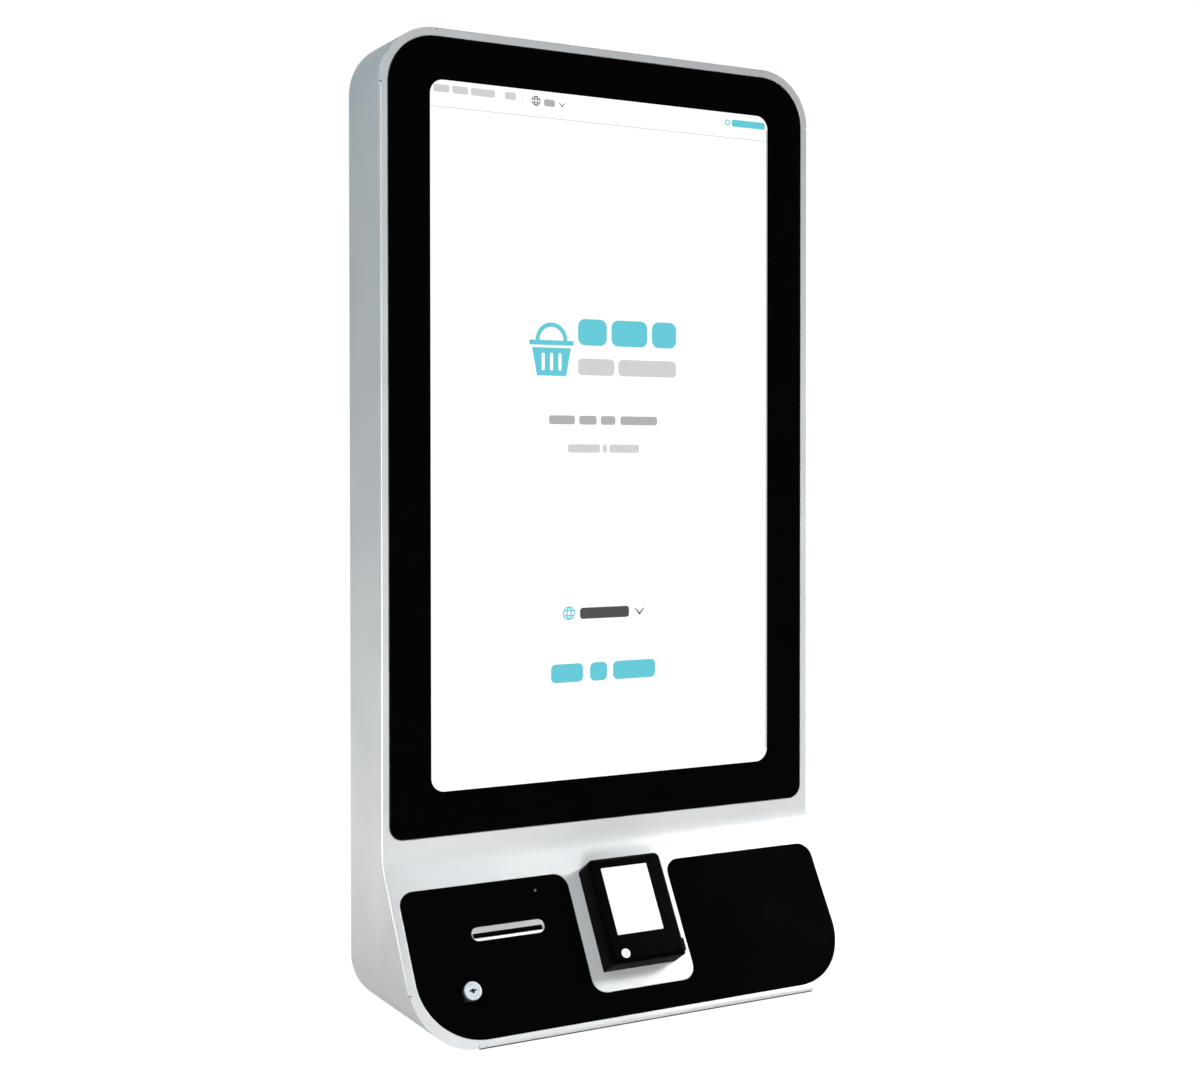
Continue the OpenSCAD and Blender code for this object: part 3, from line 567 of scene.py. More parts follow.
def lit_material(name, colour, strength):
    """A lit picture: its colour shines evenly, with faint unevenness of the light behind it."""
    material, nodes, links, shader = new_material(name)
    shader.inputs["Base Color"].default_value = (0.02, 0.02, 0.02, 1)
    shader.inputs["Roughness"].default_value = 0.12
    shader.inputs["Specular IOR Level"].default_value = 0.3
    glow = noise(nodes, links, 3.0)
    dark = tuple(c * 0.985 for c in colour)
    links.new(tint(nodes, links, spread(nodes, links, glow, 0, 1), dark, colour),
              shader.inputs["Emission Color"])
    shader.inputs["Emission Strength"].default_value = strength
    return material


SILVER = finish("satin_silver_paint", (0.68, 0.685, 0.69), 0.38, 0.35, grain=1500, depth=0.00004,
                strength=0.35, vary=0.035, cloud=9, coat=0.12, coat_rough=0.3)
ZINC = finish("zinc_plate", (0.56, 0.58, 0.6), 0.34, 0.95, grain=260, depth=0.00002, strength=0.25,
              vary=0.12, cloud=60, stretch=(1, 1, 8))
GLOSS = finish("gloss_black_panel", (0.0007, 0.0007, 0.0008), 0.09, grain=120, depth=0.000002,
               strength=0.05, vary=0.3, specular=0.12, rough_vary=0.03)
GLASS = finish("printed_cover_glass", (0.0006, 0.0006, 0.0007), 0.06, grain=60, depth=0.000002,
               strength=0.03, vary=0.3, specular=0.12, rough_vary=0.02)
GLASS_EDGE = finish("ground_glass_edge", (0.01, 0.016, 0.014), 0.28, grain=1800, depth=0.00002,
                    strength=0.3, vary=0.2, specular=0.4)
TERMINAL = finish("moulded_black", (0.0009, 0.0009, 0.001), 0.42, grain=2600, depth=0.00003,
                  strength=0.35, vary=0.2, specular=0.012)
KEY_GREY = finish("key_centre", (0.6, 0.61, 0.62), 0.4, grain=2200, vary=0.04)
# Dark moulding for the dark plastic parts; also painted in the lock's keyway as shade
DARK = finish("dark_moulding_and_keyway_shade", (0.035, 0.037, 0.04), 0.5, grain=1900, depth=0.00003, strength=0.4,
              vary=0.15)
CORE = finish("metal_skinned_core", (0.5, 0.52, 0.54), 0.4, 0.85, grain=420, depth=0.00002,
              strength=0.25, vary=0.08, stretch=(6, 1, 1))
JACK = finish("nickel_shield", (0.62, 0.62, 0.6), 0.25, 1.0, grain=800, vary=0.08)
RED = finish("red_rocker", (0.42, 0.015, 0.012), 0.32, grain=2200, vary=0.08)
WHITE = finish("white_moulding", (0.82, 0.82, 0.8), 0.4, grain=2200, vary=0.03)
# Black rubber for the rubber parts; also painted on the door's lower bead as shade
RUBBER_AND_BEAD_SHADE = finish("black_rubber_and_bead_shade", (0.018, 0.018, 0.019), 0.72, grain=1400, depth=0.00006,
                strength=0.5, vary=0.2, specular=0.3)
ALUMINIUM = finish("extruded_aluminium", (0.5, 0.51, 0.53), 0.5, 0.85, grain=500, depth=0.00001,
                   strength=0.1, vary=0.06, stretch=(8, 1, 0.4))
BLADE = finish("ground_blade_steel", (0.6, 0.61, 0.63), 0.2, 1.0, grain=900, vary=0.06,
               stretch=(0.3, 6, 6))
CHROME = finish("satin_chrome", (0.58, 0.62, 0.66), 0.5, 0.4, grain=2400, depth=0.00005,
                strength=0.6, vary=0.16, cloud=900)
# Darker chrome for the side of the lock barrel: painted shade on the chrome body
LOCK_SIDE_SHADE = finish("shaded_barrel_chrome", (0.2, 0.22, 0.245), 0.4, 0.8, grain=2400, depth=0.00002,
                   strength=0.3, vary=0.12)
BRASS = finish("machined_brass", (0.7, 0.46, 0.16), 0.28, 1.0, grain=900, vary=0.08)
PAPER = finish("thermal_paper", (0.86, 0.86, 0.84), 0.55, grain=1500, depth=0.00002, strength=0.3,
               vary=0.02)
CARD = finish("wound_cardboard", (0.42, 0.3, 0.18), 0.8, grain=700, depth=0.00008, strength=0.5,
              vary=0.12, stretch=(5, 1, 1))
# Light grey for the mouth's scoop and near-white for its lip: a painted reflection and a painted
# highlight on the black mouth
SCOOP_REFLECTION = finish("painted_reflection_scoop", (0.66, 0.66, 0.66), 0.3, 0.5, grain=1600, depth=0.00002,
               strength=0.2, vary=0.05)
LIP_HIGHLIGHT = finish("painted_highlight_lip", (0.97, 0.97, 0.97), 0.3, 0.1, grain=1600, depth=0.00002, strength=0.2,
             vary=0.02)
BOARD = board_material()
SCREEN = lit_material("lit_white", (1.0, 1.0, 1.0), 1.05)
INK_TEAL = lit_material("lit_teal", (0.115, 0.58, 0.68), 1.0)
INK_GREY = lit_material("lit_grey", (0.42, 0.43, 0.44), 1.0)
INK_PALE = lit_material("lit_pale_grey", (0.62, 0.63, 0.64), 1.0)
INK_DARK = lit_material("lit_charcoal", (0.06, 0.062, 0.065), 1.0)
# Grey for the strip along the picture's right side: painted shade of the recess behind the glass
INK_EDGE_SHADE = lit_material("lit_edge_shade_grey", (0.5, 0.52, 0.54), 1.0)
PAY_SCREEN = lit_material("lit_terminal_white", (1.0, 1.0, 1.0), 1.05)
LENS = finish("smoked_lens", (0.05, 0.055, 0.05), 0.15, grain=600, vary=0.1, specular=0.6)

BY_SLOT = {
    "silver_paint": SILVER,
    "zinc_steel": ZINC,
    "light_core": CORE,
    "black_gloss": GLOSS,
    "terminal_plastic": TERMINAL,
    "cover_glass": GLASS,
    "lit_screen": SCREEN,
    "dark_plastic": DARK,
    "jack_metal": JACK,
    "red_plastic": RED,
    "white_plastic": WHITE,
    "rubber_black": RUBBER_AND_BEAD_SHADE,
    "circuit_board": BOARD,
    "aluminium": ALUMINIUM,
    "blade_steel": BLADE,
    "chrome_lock": CHROME,
    "brass": BRASS,
    "paper": PAPER,
    "cardboard": CARD,
}


def dress_frame():
    """Gives each CAD node the finish of its record slot."""
    for row in frame["record"]["subparts"]:
        mesh = frame["nodes"][row["node"]].data
        if not mesh.materials:
            mesh.materials.append(None)
        for i in range(len(mesh.materials)):
            mesh.materials[i] = BY_SLOT[row["material_slot"]]


# ---------- cabinet ----------


def body_outline():
    """The cabinet's front-view outline with points where the bend and the notches need them."""
    outline = tablet(BODY_W, BODY_H, TOP_R, BOTTOM_R, 0)
    outline = cut_at(outline, 1, bend_levels() + [NOTCH_TOP, NOTCH_TOP + NOTCH_W])
    outline = cut_at(outline, 1, [NOTCH_LOW, NOTCH_LOW - NOTCH_W])
    ends = [NOTCH_X, NOTCH_X + NOTCH_W]
    return cut_at(outline, 0, ends + [-x for x in ends])


def edge_kind(x, z):
    """Whether the door's edge is rolled, lower, notched or plain at a place on the outline."""
    upright = abs(x) > NOTCH_X + 2 and z > LEVEL_BAND
    if upright and z < BODY_H - LEVEL_BAND:
        if NOTCH_LOW < z < NOTCH_TOP:
            return "rolled"
        if NOTCH_LOW - NOTCH_W < z < NOTCH_TOP + NOTCH_W:
            return "notched"
        return "plain"
    if abs(x) < NOTCH_X:
        return "rolled" if z > LEVEL_BAND else "lower"
    return "notched" if abs(x) < NOTCH_X + NOTCH_W else "plain"


def edge_section(kind):
    """Steps of (inset, depth) from the door's front face round its edge to the inside.

    Each kind has as many steps as the bead, and three more.
    """
    last = len(BEAD) - 1
    if kind == "notched":
        inner = NOTCH_IN + NOTCH_STEP
        steps = [(NOTCH_IN, 0.0)] + [(NOTCH_IN, NOTCH_STEP * k) for k in range(1, last + 1)]
        return steps + [(NOTCH_IN, RIM), (inner, RIM), (inner, SKIN)]
    if kind == "lower":
        return BEAD + [(BEAD[last][0], RIM), (SKIN, RIM), (SKIN, SKIN)]
    radius = EDGE_R[kind]
    steps = []
    for k in range(last + 1):
        a = math.pi / 2 * k / last
        steps.append((radius * (1 - math.sin(a)), radius * (1 - math.cos(a))))
    return steps + [(0.0, RIM), (SKIN, RIM), (SKIN, SKIN)]


def door_skin():
    """The painted door: front sheet, bend, rolled edges and the two openings."""
    outline = normals_of(body_outline())
    spots = []
    for i, a in enumerate(outline):
        b = outline[(i + 1) % len(outline)]
        kind = edge_kind((a[0] + b[0]) / 2, (a[1] + b[1]) / 2)
        for p in (a, b):
            if not spots or spots[-1] != (p, kind):
                spots.append((p, kind))
    sections = {kind: edge_section(kind) for kind in (*EDGE_R, "lower", "notched")}
    rings = []
    for k in range(len(sections["rolled"])):
        ring = []
        for (x, z, nx, nz), kind in spots:
            inset, depth = sections[kind][k]
            ring.append((x - nx * inset, z - nz * inset, depth))
        rings.append(ring)
    shape = Shape()
    shape.loft([[on_front(*p) for p in ring] for ring in rings])
    # The lower bead's turned-under steps get the black finish: painted shade under the rolled edge
    for k in range(BEAD_SHADE_FROM, len(BEAD) - 1):
        for i, (_, kind) in enumerate(spots):
            if kind == "lower" and spots[(i + 1) % len(spots)][1] == "lower":
                shape.marks[k * len(spots) + i] = 1
    for depth, ring, grow in ((0.0, rings[0], DOOR_EASE), (SKIN, rings[-1], 0.0)):
        panel = [(u, chin_height(-y, depth)) for u, y in panel_outline(PANEL_GAP + grow)]
        outer = tidy_loop([(x, z) for x, z, _ in ring])
        shape.cap([outer, glass_opening(grow), panel], lambda x, z, d=depth: on_front(x, z, d),
                  levels=bend_levels())
    add_opening_walls(shape)
    shape.make("door_skin", "door", [SILVER, RUBBER_AND_BEAD_SHADE], ["front_bezel", "chin_skin"], "silver_paint")


def tidy_loop(loop):
    """The loop without points that repeat."""
    out = [loop[0]]
    for p in loop[1:]:
        if abs(p[0] - out[-1][0]) + abs(p[1] - out[-1][1]) > NEAR:
            out.append(p)
    if abs(out[0][0] - out[-1][0]) + abs(out[0][1] - out[-1][1]) < NEAR:
        out.pop()
    return out


def add_opening_walls(shape):
    """Cut edges of the glass opening and of the lower panel's opening."""
    part = DOOR_EASE * 0.3
    steps = ((DOOR_EASE, 0.0), (part, part), (0.0, DOOR_EASE), (0.0, SKIN))
    shape.loft([[on_front(x, z, depth) for x, z in glass_opening(grow)] for grow, depth in steps])
    shape.loft([[on_chin(u, -y, -depth) for u, y in panel_outline(PANEL_GAP + grow)]
                for grow, depth in steps])


def sheet_rings(outline):
    """Rings of the cabinet sheet from its inner back edge, over its outside and back to it."""
    ways = [(SHEET, "wall", 0.0), (SHEET_EASE, "wall", 0.0), (0.0, "wall", SHEET_EASE),
            (0.0, "front", SEAM + SHEET_EASE), (SHEET_EASE, "front", SEAM),
            (SHEET, "front", SEAM), (SHEET, "wall", 0.0)]
    rings = []
    for inset, side, value in ways:
        ring = []
        for x, z, nx, nz in outline:
            px = x - nx * inset
            pz = z - nz * inset
            y = -value if side == "wall" else -front_distance(pz, value)
            ring.append((px, y, pz - MOUNT_Z))
        rings.append(ring)
    return rings


def cabinet_shell():
    """The wrapped cabinet sheet with its vents and cut-outs."""
    outline = normals_of(body_outline())
    rings = sheet_rings(outline)
    shape = Shape()
    count = len(outline)
    skip = set()
    for i in range(count):
        a = outline[i]
        b = outline[(i + 1) % count]
        if abs(a[1] - b[1]) < TINY and max(abs(a[0]), abs(b[0])) <= NOTCH_X + TINY:
            skip.add(i)
    for k, (low, high) in enumerate(zip(rings, rings[1:])):
        faces = []
        for i in range(count):
            if k in PIERCED_BANDS and i in skip:
                continue
            j = (i + 1) % count
            faces.append((i, j, count + j, count + i))
        shape.add(low + high, faces)
    add_pierced(shape, BODY_H, top_vents(), -1)
    add_pierced(shape, 0, floor_cuts(), 1)
    shape.make("cabinet_shell", "cabinet", [SILVER],
               ["side_panels", "top_panel", "bottom_panel"], "silver_paint")


def add_pierced(shape, height, holes, inward):
    """The flat stretch of the top or floor sheet between its two faces, with its holes."""
    outer_front = front_distance(height, SEAM + SHEET_EASE)
    inner_height = height + inward * SHEET
    inner_front = front_distance(inner_height, SEAM)
    outer = block(-NOTCH_X, SHEET_EASE, NOTCH_X, outer_front)
    inner = block(-NOTCH_X, 0, NOTCH_X, inner_front)
    shape.cap([outer] + holes, lambda x, y: (x, -y, height - MOUNT_Z))
    shape.cap([inner] + holes, lambda x, y: (x, -y, inner_height - MOUNT_Z))
    for hole in holes:
        shape.loft([[(x, -y, h - MOUNT_Z) for x, y in hole] for h in (height, inner_height)])


def slot_row(middle, pitch, width, low, high, r, each_side):
    """Slots side by side, with as many on each side of the middle one."""
    half = width / 2
    return [block(middle + i * pitch - half, low, middle + i * pitch + half, high, r, 3)
            for i in range(-each_side, each_side + 1)]


def top_vents():
    """Two rows of slots beside the wall."""
    return slot_row(0, 18, 3, 20, 40, 0.6, 9) + slot_row(0, 18, 3, 46, 66, 0.6, 9)


def floor_cuts():
    """Fan and speaker slots, inlet, switch and network openings."""
    cuts = slot_row(100, 6, 3, 28, 72, 0.6, 4)
    for x in (-30, 30):
        cuts += slot_row(x, 4, 2, 40, 60, 0.5, 4)
    cuts.append(block(158, 20, 186, 40, 0.6, 3))
    cuts.append(block(138, 19, 152, 41, 0.6, 3))
    cuts += [block(x - 8, 23, x + 8, 37, 0.6, 3) for x in (-172, -152)]
    return cuts


# ---------- display ----------


def cover_glass():
    """The flush cover glass: black print round a lit picture, with ground edges."""
    shape = Shape()
    ease_by = 0.4
    outline = tablet(GLASS_W, GLASS_H, GLASS_TOP_R, GLASS_LOW_R, GLASS_Z)
    front = ease(outline, ease_by)
    screen = tablet(SCREEN_W, SCREEN_H, SCREEN_R, SCREEN_R, SCREEN_Z, 12)

    def at(x, z, depth):
        return (x, -(UPPER_DEPTH + depth), z - MOUNT_Z)

    shape.cap([front, screen], lambda x, z: at(x, z, 0), 0)
    shape.cap([screen], lambda x, z: at(x, z, 0), 1)
    shape.loft([[at(x, z, 0) for x, z in front]] + eased_loops(outline, front, at, 0, ease_by)
               + [[at(x, z, -GLASS_T) for x, z in outline]], 2)
    shape.cap([outline], lambda x, z: at(x, z, -GLASS_T), 2)
    shape.make("cover_glass", "door", [GLASS, SCREEN, GLASS_EDGE], ["touch_glass"], "cover_glass")


def on_screen(x, y, out):
    """A place on the picture, from the middle and from its lower edge."""
    return (x, -(UPPER_DEPTH + out), SCREEN_Z + y - MOUNT_Z)


class Marks:
    """Thin printed marks of the screen's layout, one shape for all of them."""

    def __init__(self):
        self.shape = Shape()

    def area(self, outlines, ink):
        self.shape.slab(outlines, on_screen, 0.04, 0.0, mark=ink)

    def bar(self, x0, x1, y, h, ink):
        """A rounded bar that stands for a word."""
        self.area([block(x0, y - h / 2, x1, y + h / 2, h * 0.28)], ink)

    def words(self, spans, y, h, ink):
        for x0, x1 in spans:
            self.bar(x0, x1, y, h, ink)

    def ring(self, x, y, r, width, ink):
        self.area([circle(x, y, r, 36), circle(x, y, r - width, 36)], ink)

    def chevron(self, x, y, size, width, ink):
        """A small arrow that points down."""
        w = width * 0.7
        high = y + size * 0.5
        low = y - size * 0.5
        self.area([[(x - size, high), (x, low), (x + size, high), (x + size + w, high),
                    (x, low - 2 * w), (x - size - w, high)]], ink)

    def basket(self, x, y, size, ink):
        """Shopping basket: a handle over a rim, and a tapering body with three slots."""
        half = size / 2
        rim = y + size * 0.72
        handle = arc(x, rim, half * 0.72, 0, 180, 20) + arc(x, rim, half * 0.54, 180, 0, 20)
        self.area([handle], ink)
        self.area([block(x - half, rim - size * 0.1, x + half, rim, 1.2)], ink)
        top = rim - size * 0.15
        body = [(x - half * 0.66, y), (x + half * 0.66, y),
                (x + half * 0.88, top), (x - half * 0.88, top)]
        slots = [stadium_up(x + dx * size, (y + top) / 2, size * 0.07, size * 0.36)
                 for dx in (-0.19, 0, 0.19)]
        self.area([body] + slots, ink)

    def globe(self, x, y, r, width, ink):
        """Ring with one meridian and two parallels."""
        self.ring(x, y, r, width, ink)
        outer = [(x + (px - x) * 0.5, py) for px, py in circle(x, y, r - width * 0.5, 28)]
        inner = [(x + (px - x) * 0.5 - math.copysign(width * 0.8, px - x), py)
                 for px, py in circle(x, y, r - width * 1.1, 28)]
        self.area([outer, inner], ink)
        half = r * 0.85
        for dy in (-0.36, 0.36):
            self.area([block(x - half, y + r * dy - width / 2, x + half, y + r * dy + width / 2)], ink)


def screen_marks():
    """A plain start page: header, basket mark, two notes, language choice and start line."""
    teal, grey, pale, dark, edge = range(5)
    marks = Marks()
    half = SCREEN_W / 2
    # header
    marks.words([(-193, -176), (-173, -156), (-153, -127), (-116, -104)], 690, 7.5, pale)
    marks.area([block(-97.6, 683, -97.0, 694)], pale)
    marks.globe(-81.7, 688, 5, 0.8, dark)
    marks.bar(-72.7, -60.5, 687.2, 7, grey)
    marks.chevron(-52.4, 687.5, 3, 1.2, dark)
    marks.area([block(-half + 0.6, 671.6, half - 2.2, 672.4)], pale)
    marks.bar(151, 193, 688, 7.5, teal)
    marks.ring(145.5, 688, 3.2, 1.3, teal)
    # basket mark with its name and line
    marks.basket(-64.5, 412, 50, teal)
    marks.words([(-34.3, -1), (4.5, 47), (52.5, 81.8)], 457.5, 27, teal)
    marks.words([(-34.3, 8), (12.5, 81.8)], 422, 17, pale)
    # notes
    marks.words([(-67.4, -38), (-33, -13), (-8, 9), (15, 58.7)], 367.5, 9, grey)
    marks.words([(-45.9, -9), (-6, -1), (2, 37.1)], 338.5, 8.5, pale)
    # language choice
    marks.globe(-44.9, 170.3, 7, 1.3, teal)
    marks.bar(-32.3, 25.1, 169.5, 11.5, dark)
    marks.chevron(37.6, 170.2, 4.6, 1.9, dark)
    # start line
    marks.words([(-65.5, -28.8), (-20.7, -0.9), (6.2, 56.3)], 109, 19, teal)
    # edge of the picture behind the glass: a lit grey strip along its right side, painted shade of the
    # recess seen through the glass
    marks.area([block(half - 1.8, SCREEN_R, half - 0.2, SCREEN_H - SCREEN_R)], edge)
    marks.shape.make("screen_layout", "door", [INK_TEAL, INK_GREY, INK_PALE, INK_DARK, INK_EDGE_SHADE],
                     slot="lit_screen")


# ---------- chin ----------


def at_panel(u, y, out):
    """A place on the chin from u and -s."""
    return on_chin(u, -y, out)


def lower_panel():
    """Gloss black panel with the printer mouth, lamp and lock openings."""
    shape = Shape()
    mouth = stadium(MOUTH_U, -MOUTH_S, MOUTH_W + 0.4, MOUTH_H + 0.4)
    lamp = circle(LED_U, -LED_S, 1.6, 24)
    lock = circle(LOCK_U, -LOCK_S, 8.1)
    shape.slab([panel_outline(), mouth, lamp, lock], at_panel, 0.0, -SKIN, 0.3)
    shape.make("lower_panel_gloss", "door", [GLOSS], ["lower_panel"], "black_gloss")


def mouth_profile(y):
    """How far the mouth's face stands out at a height across it."""
    if y > SLIT_HIGH:
        t = (MOUTH_H / 2 - y) / (MOUTH_H / 2 - SLIT_HIGH)
        return MOUTH_FACE - SCOOP_DEPTH * t ** 0.8
    if y > SLIT_LOW:
        t = (SLIT_HIGH - y) / (SLIT_HIGH - SLIT_LOW)
        return MOUTH_FACE - SCOOP_DEPTH + (SCOOP_DEPTH - LIP_DROP) * t
    t = min(1.0, (SLIT_LOW - y) / LIP_ROUND)
    return MOUTH_FACE - LIP_DROP * (1 - math.sqrt(1 - (1 - t) ** 2))


def mouth_insert():
    """Receipt mouth: a scoop that slopes in to the paper slit and a rounded lip below it. The scoop is
    painted light grey as a reflection and the lip near-white as a highlight.
    """
    shape = Shape()
    levels = [MOUTH_H / 2 * i / 14 for i in range(-13, 14)]
    top = cut_at(stadium(0, 0, MOUTH_W, MOUTH_H, 16), 1, levels)
    rim = ease(top, 0.4)
    slit = cut_at(block(-SLIT_HALF, SLIT_LOW, SLIT_HALF, SLIT_HIGH, 1.2), 1, levels)

    def at(x, y, out):
        return at_panel(MOUTH_U + x, y - MOUTH_S, out)

    shape.loft([[at(x, y, MOUTH_BACK) for x, y in top], [at(x, y, MOUTH_FACE) for x, y in top],
                [at(x, y, 0.1) for x, y in rim]], 0)
    inner = ease(rim, 0.3)
    # The scoop and the slit's face get the light grey: a painted reflection
    shape.loft([[at(x, y, 0.1) for x, y in rim], [at(x, y, -0.05) for x, y in inner],
                [at(x, y, mouth_profile(y)) for x, y in inner]], 1)
    start = len(shape.faces)
    shape.cap([inner, slit], lambda x, y: at(x, y, mouth_profile(y)), 1, levels)
    low = on_chin(0, MOUTH_S - SLIT_LOW)[2]
    # Faces of the lower lip get the near-white: a painted highlight
    for i in range(start, len(shape.faces)):
        if max(shape.points[p][2] for p in shape.faces[i]) < low + 0.4:
            shape.marks[i] = 2
    shape.loft([[at(x, y, mouth_profile(y)) for x, y in slit],
                [at(x, y, MOUTH_BACK) for x, y in slit]], 0)
    shape.cap([top, slit], lambda x, y: at(x, y, MOUTH_BACK), 0)
    shape.make("receipt_mouth_insert", "door", [TERMINAL, SCOOP_REFLECTION, LIP_HIGHLIGHT], ["receipt_mouth"],
               "black_gloss")


def lamp_lens():
    """Small domed lens of the status lamp."""
    shape = Shape()
    profile = [(1.5, -5.5), (1.5, -0.2), (1.35, 0.05), (1.0, 0.25), (0.5, 0.38), (0.05, 0.42)]
    rings = [circle(LED_U, -LED_S, r, 24) for r, _ in profile]
    shape.loft([[at_panel(x, y, out) for x, y in ring] for ring, (_, out) in zip(rings, profile)])
    for end in (0, -1):
        shape.cap([rings[end]], lambda x, y, out=profile[end][1]: at_panel(x, y, out))
    shape.make("status_lens", "door", [LENS], ["status_led"])


def keyway():
    """Outline of the key slot: a bar with a deep warding notch under its middle."""
    x, y = LOCK_U, -LOCK_S
    return [(x - 3.6, y - 0.3), (x - 1.4, y - 0.9), (x - 0.9, y - 2.6), (x + 0.9, y - 2.6),
            (x + 1.4, y - 0.9), (x + 3.6, y - 0.3), (x + 3.6, y + 1.1), (x + 1.3, y + 1.1),
            (x + 0.7, y + 2.1), (x - 0.7, y + 2.1), (x - 1.3, y + 1.1), (x - 3.6, y + 1.1)]


def lock_parts():
    """Cam lock: a turned body with a ring face, and the plug with its keyway."""
    body = Shape()
    profile = [(6.1, -14), (8, -14), (8, 0.0), (9, 0.05), (9, 4.9), (8.9, 5.35), (8.6, 5.75),
               (8.2, 5.95), (7.6, 6.0), (6.5, 6.0), (6.25, 5.9), (6.1, 5.7), (6.1, -14)]
    rings = [[at_panel(x, y, h) for x, y in circle(LOCK_U, -LOCK_S, r, 64)] for r, h in profile]
    # The barrel's side gets the darker chrome as painted shade
    body.loft(rings[:5], 1)
    body.loft(rings[4:])
    body.make("lock_barrel", "door", [CHROME, LOCK_SIDE_SHADE], ["lock_body"], "chrome_lock")
    plug = Shape()
    ring = circle(LOCK_U, -LOCK_S, 6.0, 64)
    face = circle(LOCK_U, -LOCK_S, 5.8, 64)
    slot = keyway()
    plug.cap([face, slot], lambda x, y: at_panel(x, y, PLUG_FACE))
    plug.loft([[at_panel(x, y, PLUG_FACE) for x, y in face], [at_panel(x, y, 5.5) for x, y in ring],
               [at_panel(x, y, PLUG_BACK) for x, y in ring]])
    plug.cap([ring], lambda x, y: at_panel(x, y, PLUG_BACK))
    # The keyway's walls and floor are painted dark as shade inside the slot
    plug.loft([[at_panel(x, y, h) for x, y in slot] for h in (PLUG_FACE, KEYWAY_FLOOR)], 1)
    plug.cap([slot], lambda x, y: at_panel(x, y, KEYWAY_FLOOR), 1)
    plug.make("lock_key_plug", "lock_plug", [CHROME, DARK], ["lock_plug"], "chrome_lock")


# ---------- payment terminal ----------


def at_terminal(x, y, out):
    """A place on the terminal, from its centre, x across and y up the slope."""
    return on_chin(TERM_U + x, TERM_S - y, out)


def terminal_outline(inset=0.0):
    """Sharp at the lower left, cut at the upper left and round at the upper right."""
    w = TERM_W / 2 - inset
    h = TERM_L / 2 - inset
    sharp = 0.8
    cut = max(0.5, TERM_CUT - inset * 0.6)
    big = max(0.8, TERM_R - inset)
    return (
        arc(w - 2, 2 - h, 2, -90, 0, 5)
        + arc(w - big, h - big, big, 0, 90, 10)
        + [(cut - w, h), (cut * 0.5 - w, h - cut * 0.5), (-w, h - cut)]
        + arc(sharp - w, sharp - h, sharp, 180, 270, 5)
    )


def terminal_body():
    """Lower case and chamfered cover of the terminal, with the parting groove between them."""
    case = Shape()
    levels = [(0.0, 0.0), (0.0, TERM_SPLIT - 0.5), (0.25, TERM_SPLIT - 0.1), (0.7, TERM_SPLIT - 0.02)]
    case.loft([[at_terminal(x, y, h) for x, y in terminal_outline(i)] for i, h in levels])
    case.cap([terminal_outline(0.7)], lambda x, y: at_terminal(x, y, TERM_SPLIT - 0.02))
    case.cap([terminal_outline()], lambda x, y: at_terminal(x, y, 0.0))
    case.make("terminal_lower_case", "door", [TERMINAL], ["terminal_case"], "terminal_plastic")
    cover = Shape()
    flank = TERM_T - TERM_CHAMFER
    rim = TERM_CHAMFER + 0.35
    levels = [(0.7, TERM_SPLIT + 0.02), (0.25, TERM_SPLIT + 0.1), (0.0, TERM_SPLIT + 0.4)]
    levels += [(0.0, flank - 0.5), (0.1, flank - 0.15), (0.35, flank + 0.2)]
    levels += [(TERM_CHAMFER - 0.45, TERM_T - 0.5), (TERM_CHAMFER - 0.1, TERM_T - 0.18), (rim, TERM_T)]
    cover.loft([[at_terminal(x, y, h) for x, y in terminal_outline(i)] for i, h in levels])
    window = block(*WINDOW, 0.6, 3)
    button = circle(*BUTTON_AT, BUTTON_HOLE_R)
    cover.cap([terminal_outline(rim), window, button], lambda x, y: at_terminal(x, y, TERM_T))
    cover.cap([terminal_outline(0.7)], lambda x, y: at_terminal(x, y, TERM_SPLIT + 0.02))
    for hole, floor in ((window, TERM_T - WINDOW_DEPTH), (button, TERM_T - BUTTON_WELL)):
        cover.loft([[at_terminal(x, y, h) for x, y in hole] for h in (TERM_T, floor)])
        cover.cap([hole], lambda x, y, h=floor: at_terminal(x, y, h))
    cover.make("terminal_cover", "door", [TERMINAL], ["terminal_face"], "terminal_plastic")


def terminal_details():
    """Lit display, round button and card block."""
    lit = Shape()
    lit.slab([block(*DISPLAY, 0.5, 3)], at_terminal, TERM_T - 0.15, TERM_T - 1.35, 0.12)
    lit.make("terminal_lit_display", "door", [PAY_SCREEN], ["terminal_display"], "lit_screen")
    key = Shape()
    profile = [(4.85, 19.5), (4.85, 25.4), (4.7, 25.75), (4.35, 25.9), (2.7, 25.9), (2.45, 25.8),
               (2.4, 25.7)]
    rings = [circle(*BUTTON_AT, r) for r, _ in profile]
    loops = [[at_terminal(x, y, h) for x, y in ring] for ring, (_, h) in zip(rings, profile)]
    key.loft(loops[:5])
    key.loft(loops[4:], 1)
    for end, mark in ((-1, 1), (0, 0)):
        key.cap([rings[end]], lambda x, y, h=profile[end][1]: at_terminal(x, y, h), mark)
    key.make("terminal_round_key", "terminal_button", [WHITE, KEY_GREY], ["terminal_button"],
             "white_plastic")
    card = Shape()
    x0 = TERM_W / 2 - 11.8
    y0 = -TERM_L / 2 + 0.2
    outline = [(x0, y0), (x0 + 9, y0), (x0 + 15, y0 + 5), (x0 + 15, y0 + 16),
               (x0 + 11.8, y0 + 18.6), (x0, y0 + 18.6)]
    card.slab([outline], at_terminal, 20.7, 2.2, 0.5)
    card.make("card_slot_block", "door", [TERMINAL], ["card_reader"], "terminal_plastic")


# ---------- studio ----------


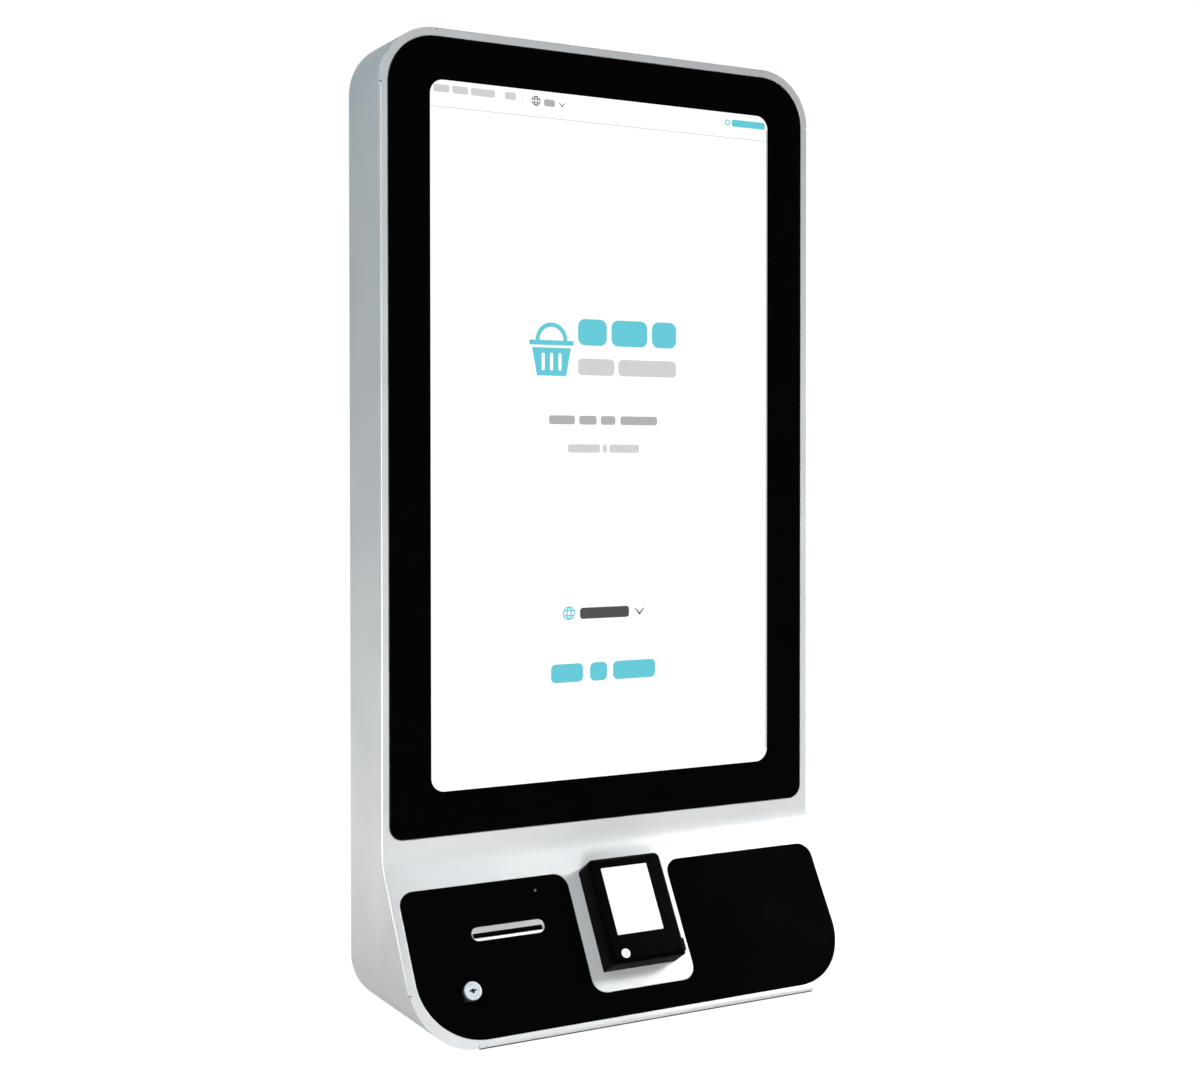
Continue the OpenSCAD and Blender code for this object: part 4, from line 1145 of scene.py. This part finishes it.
def softbox(name, place, aim, size, power, beam, colour):
    """A rectangular light at a place, aimed at a point."""
    light = bpy.data.lights.new(name, "AREA")
    light.shape = "RECTANGLE"
    light.size, light.size_y = size
    light.energy = power
    light.spread = math.radians(beam)
    light.color = colour
    obj = new_object(name, light)
    obj.location = place
    obj.rotation_euler = (Vector(aim) - Vector(place)).to_track_quat("-Z", "Y").to_euler()


def stage_surface(name, corners, material):
    """A flat surface of the stage."""
    mesh = bpy.data.meshes.new(name)
    mesh.from_pydata(corners, [], [(0, 1, 2, 3)])
    mesh.materials.append(material)
    obj = new_object(name, mesh)


def glowing(name, colour, strength):
    """Evenly lit stage material."""
    material, _, _, shader = new_material(name)
    shader.inputs["Base Color"].default_value = (0, 0, 0, 1)
    shader.inputs["Specular IOR Level"].default_value = 0
    shader.inputs["Emission Color"].default_value = (*colour, 1)
    shader.inputs["Emission Strength"].default_value = strength
    return material


def studio_air():
    """Dim air in front of the kiosk, brighter behind it."""
    world = bpy.data.worlds.new("studio_air")
    bpy.context.scene.world = world
    world.use_nodes = True
    nodes = world.node_tree.nodes
    links = world.node_tree.links
    coords = nodes.new("ShaderNodeTexCoord")
    parts = nodes.new("ShaderNodeSeparateXYZ")
    links.new(coords.outputs["Generated"], parts.inputs[0])
    level = spread(nodes, links, parts.outputs["Y"], AIR_FRONT, AIR_BACK, AIR_SPAN)
    nodes["Background"].inputs["Color"].default_value = (*AIR_TINT, 1)
    links.new(level, nodes["Background"].inputs["Strength"])


def studio():
    """Plain pale floor, a white screen behind the kiosk and soft lights."""
    floor = finish("pale_floor", (0.8, 0.8, 0.8), 0.85, grain=60, vary=0.02, cloud=2)
    wide = FLOOR_WIDE
    front = -FLOOR_FRONT
    stage_surface("studio_floor", [(-wide, front, FLOOR_Z), (wide, front, FLOOR_Z),
                                   (wide, wide, FLOOR_Z), (-wide, wide, FLOOR_Z)], floor)
    turn = math.radians(CAMERA_TURN)
    across = Vector((math.cos(turn), math.sin(turn), 0))
    middle = Vector(CAMERA_PLACE) + BACK_REACH * Vector((-math.sin(turn), math.cos(turn), 0))
    corners = []
    left = -BACK_LEFT
    right = BACK_RIGHT
    for side, height in ((left, FLOOR_Z), (right, FLOOR_Z), (right, BACK_TOP), (left, BACK_TOP)):
        corner = middle + across * side
        corners.append((corner.x, corner.y, height))
    stage_surface("studio_backdrop", corners, glowing("white_backdrop", (1, 1, 1), BACK_GLOW))
    studio_air()
    for light in LIGHTS:
        softbox(*light)


def camera():
    """The camera as it was solved from the photo's edges."""
    data = bpy.data.cameras.new("photo_camera")
    data.sensor_width = CAMERA_SENSOR
    data.lens = CAMERA_LENS
    data.shift_x, data.shift_y = CAMERA_SHIFT
    obj = new_object("photo_camera", data)
    obj.location = CAMERA_PLACE
    obj.rotation_euler = (math.radians(CAMERA_TILT), 0, math.radians(CAMERA_TURN))
    bpy.context.scene.camera = obj


dress_frame()
door_skin()
cabinet_shell()
cover_glass()
screen_marks()
lower_panel()
mouth_insert()
lamp_lens()
lock_parts()
terminal_body()
terminal_details()
studio()
camera()
bpy.context.scene.view_settings.view_transform = "Standard"
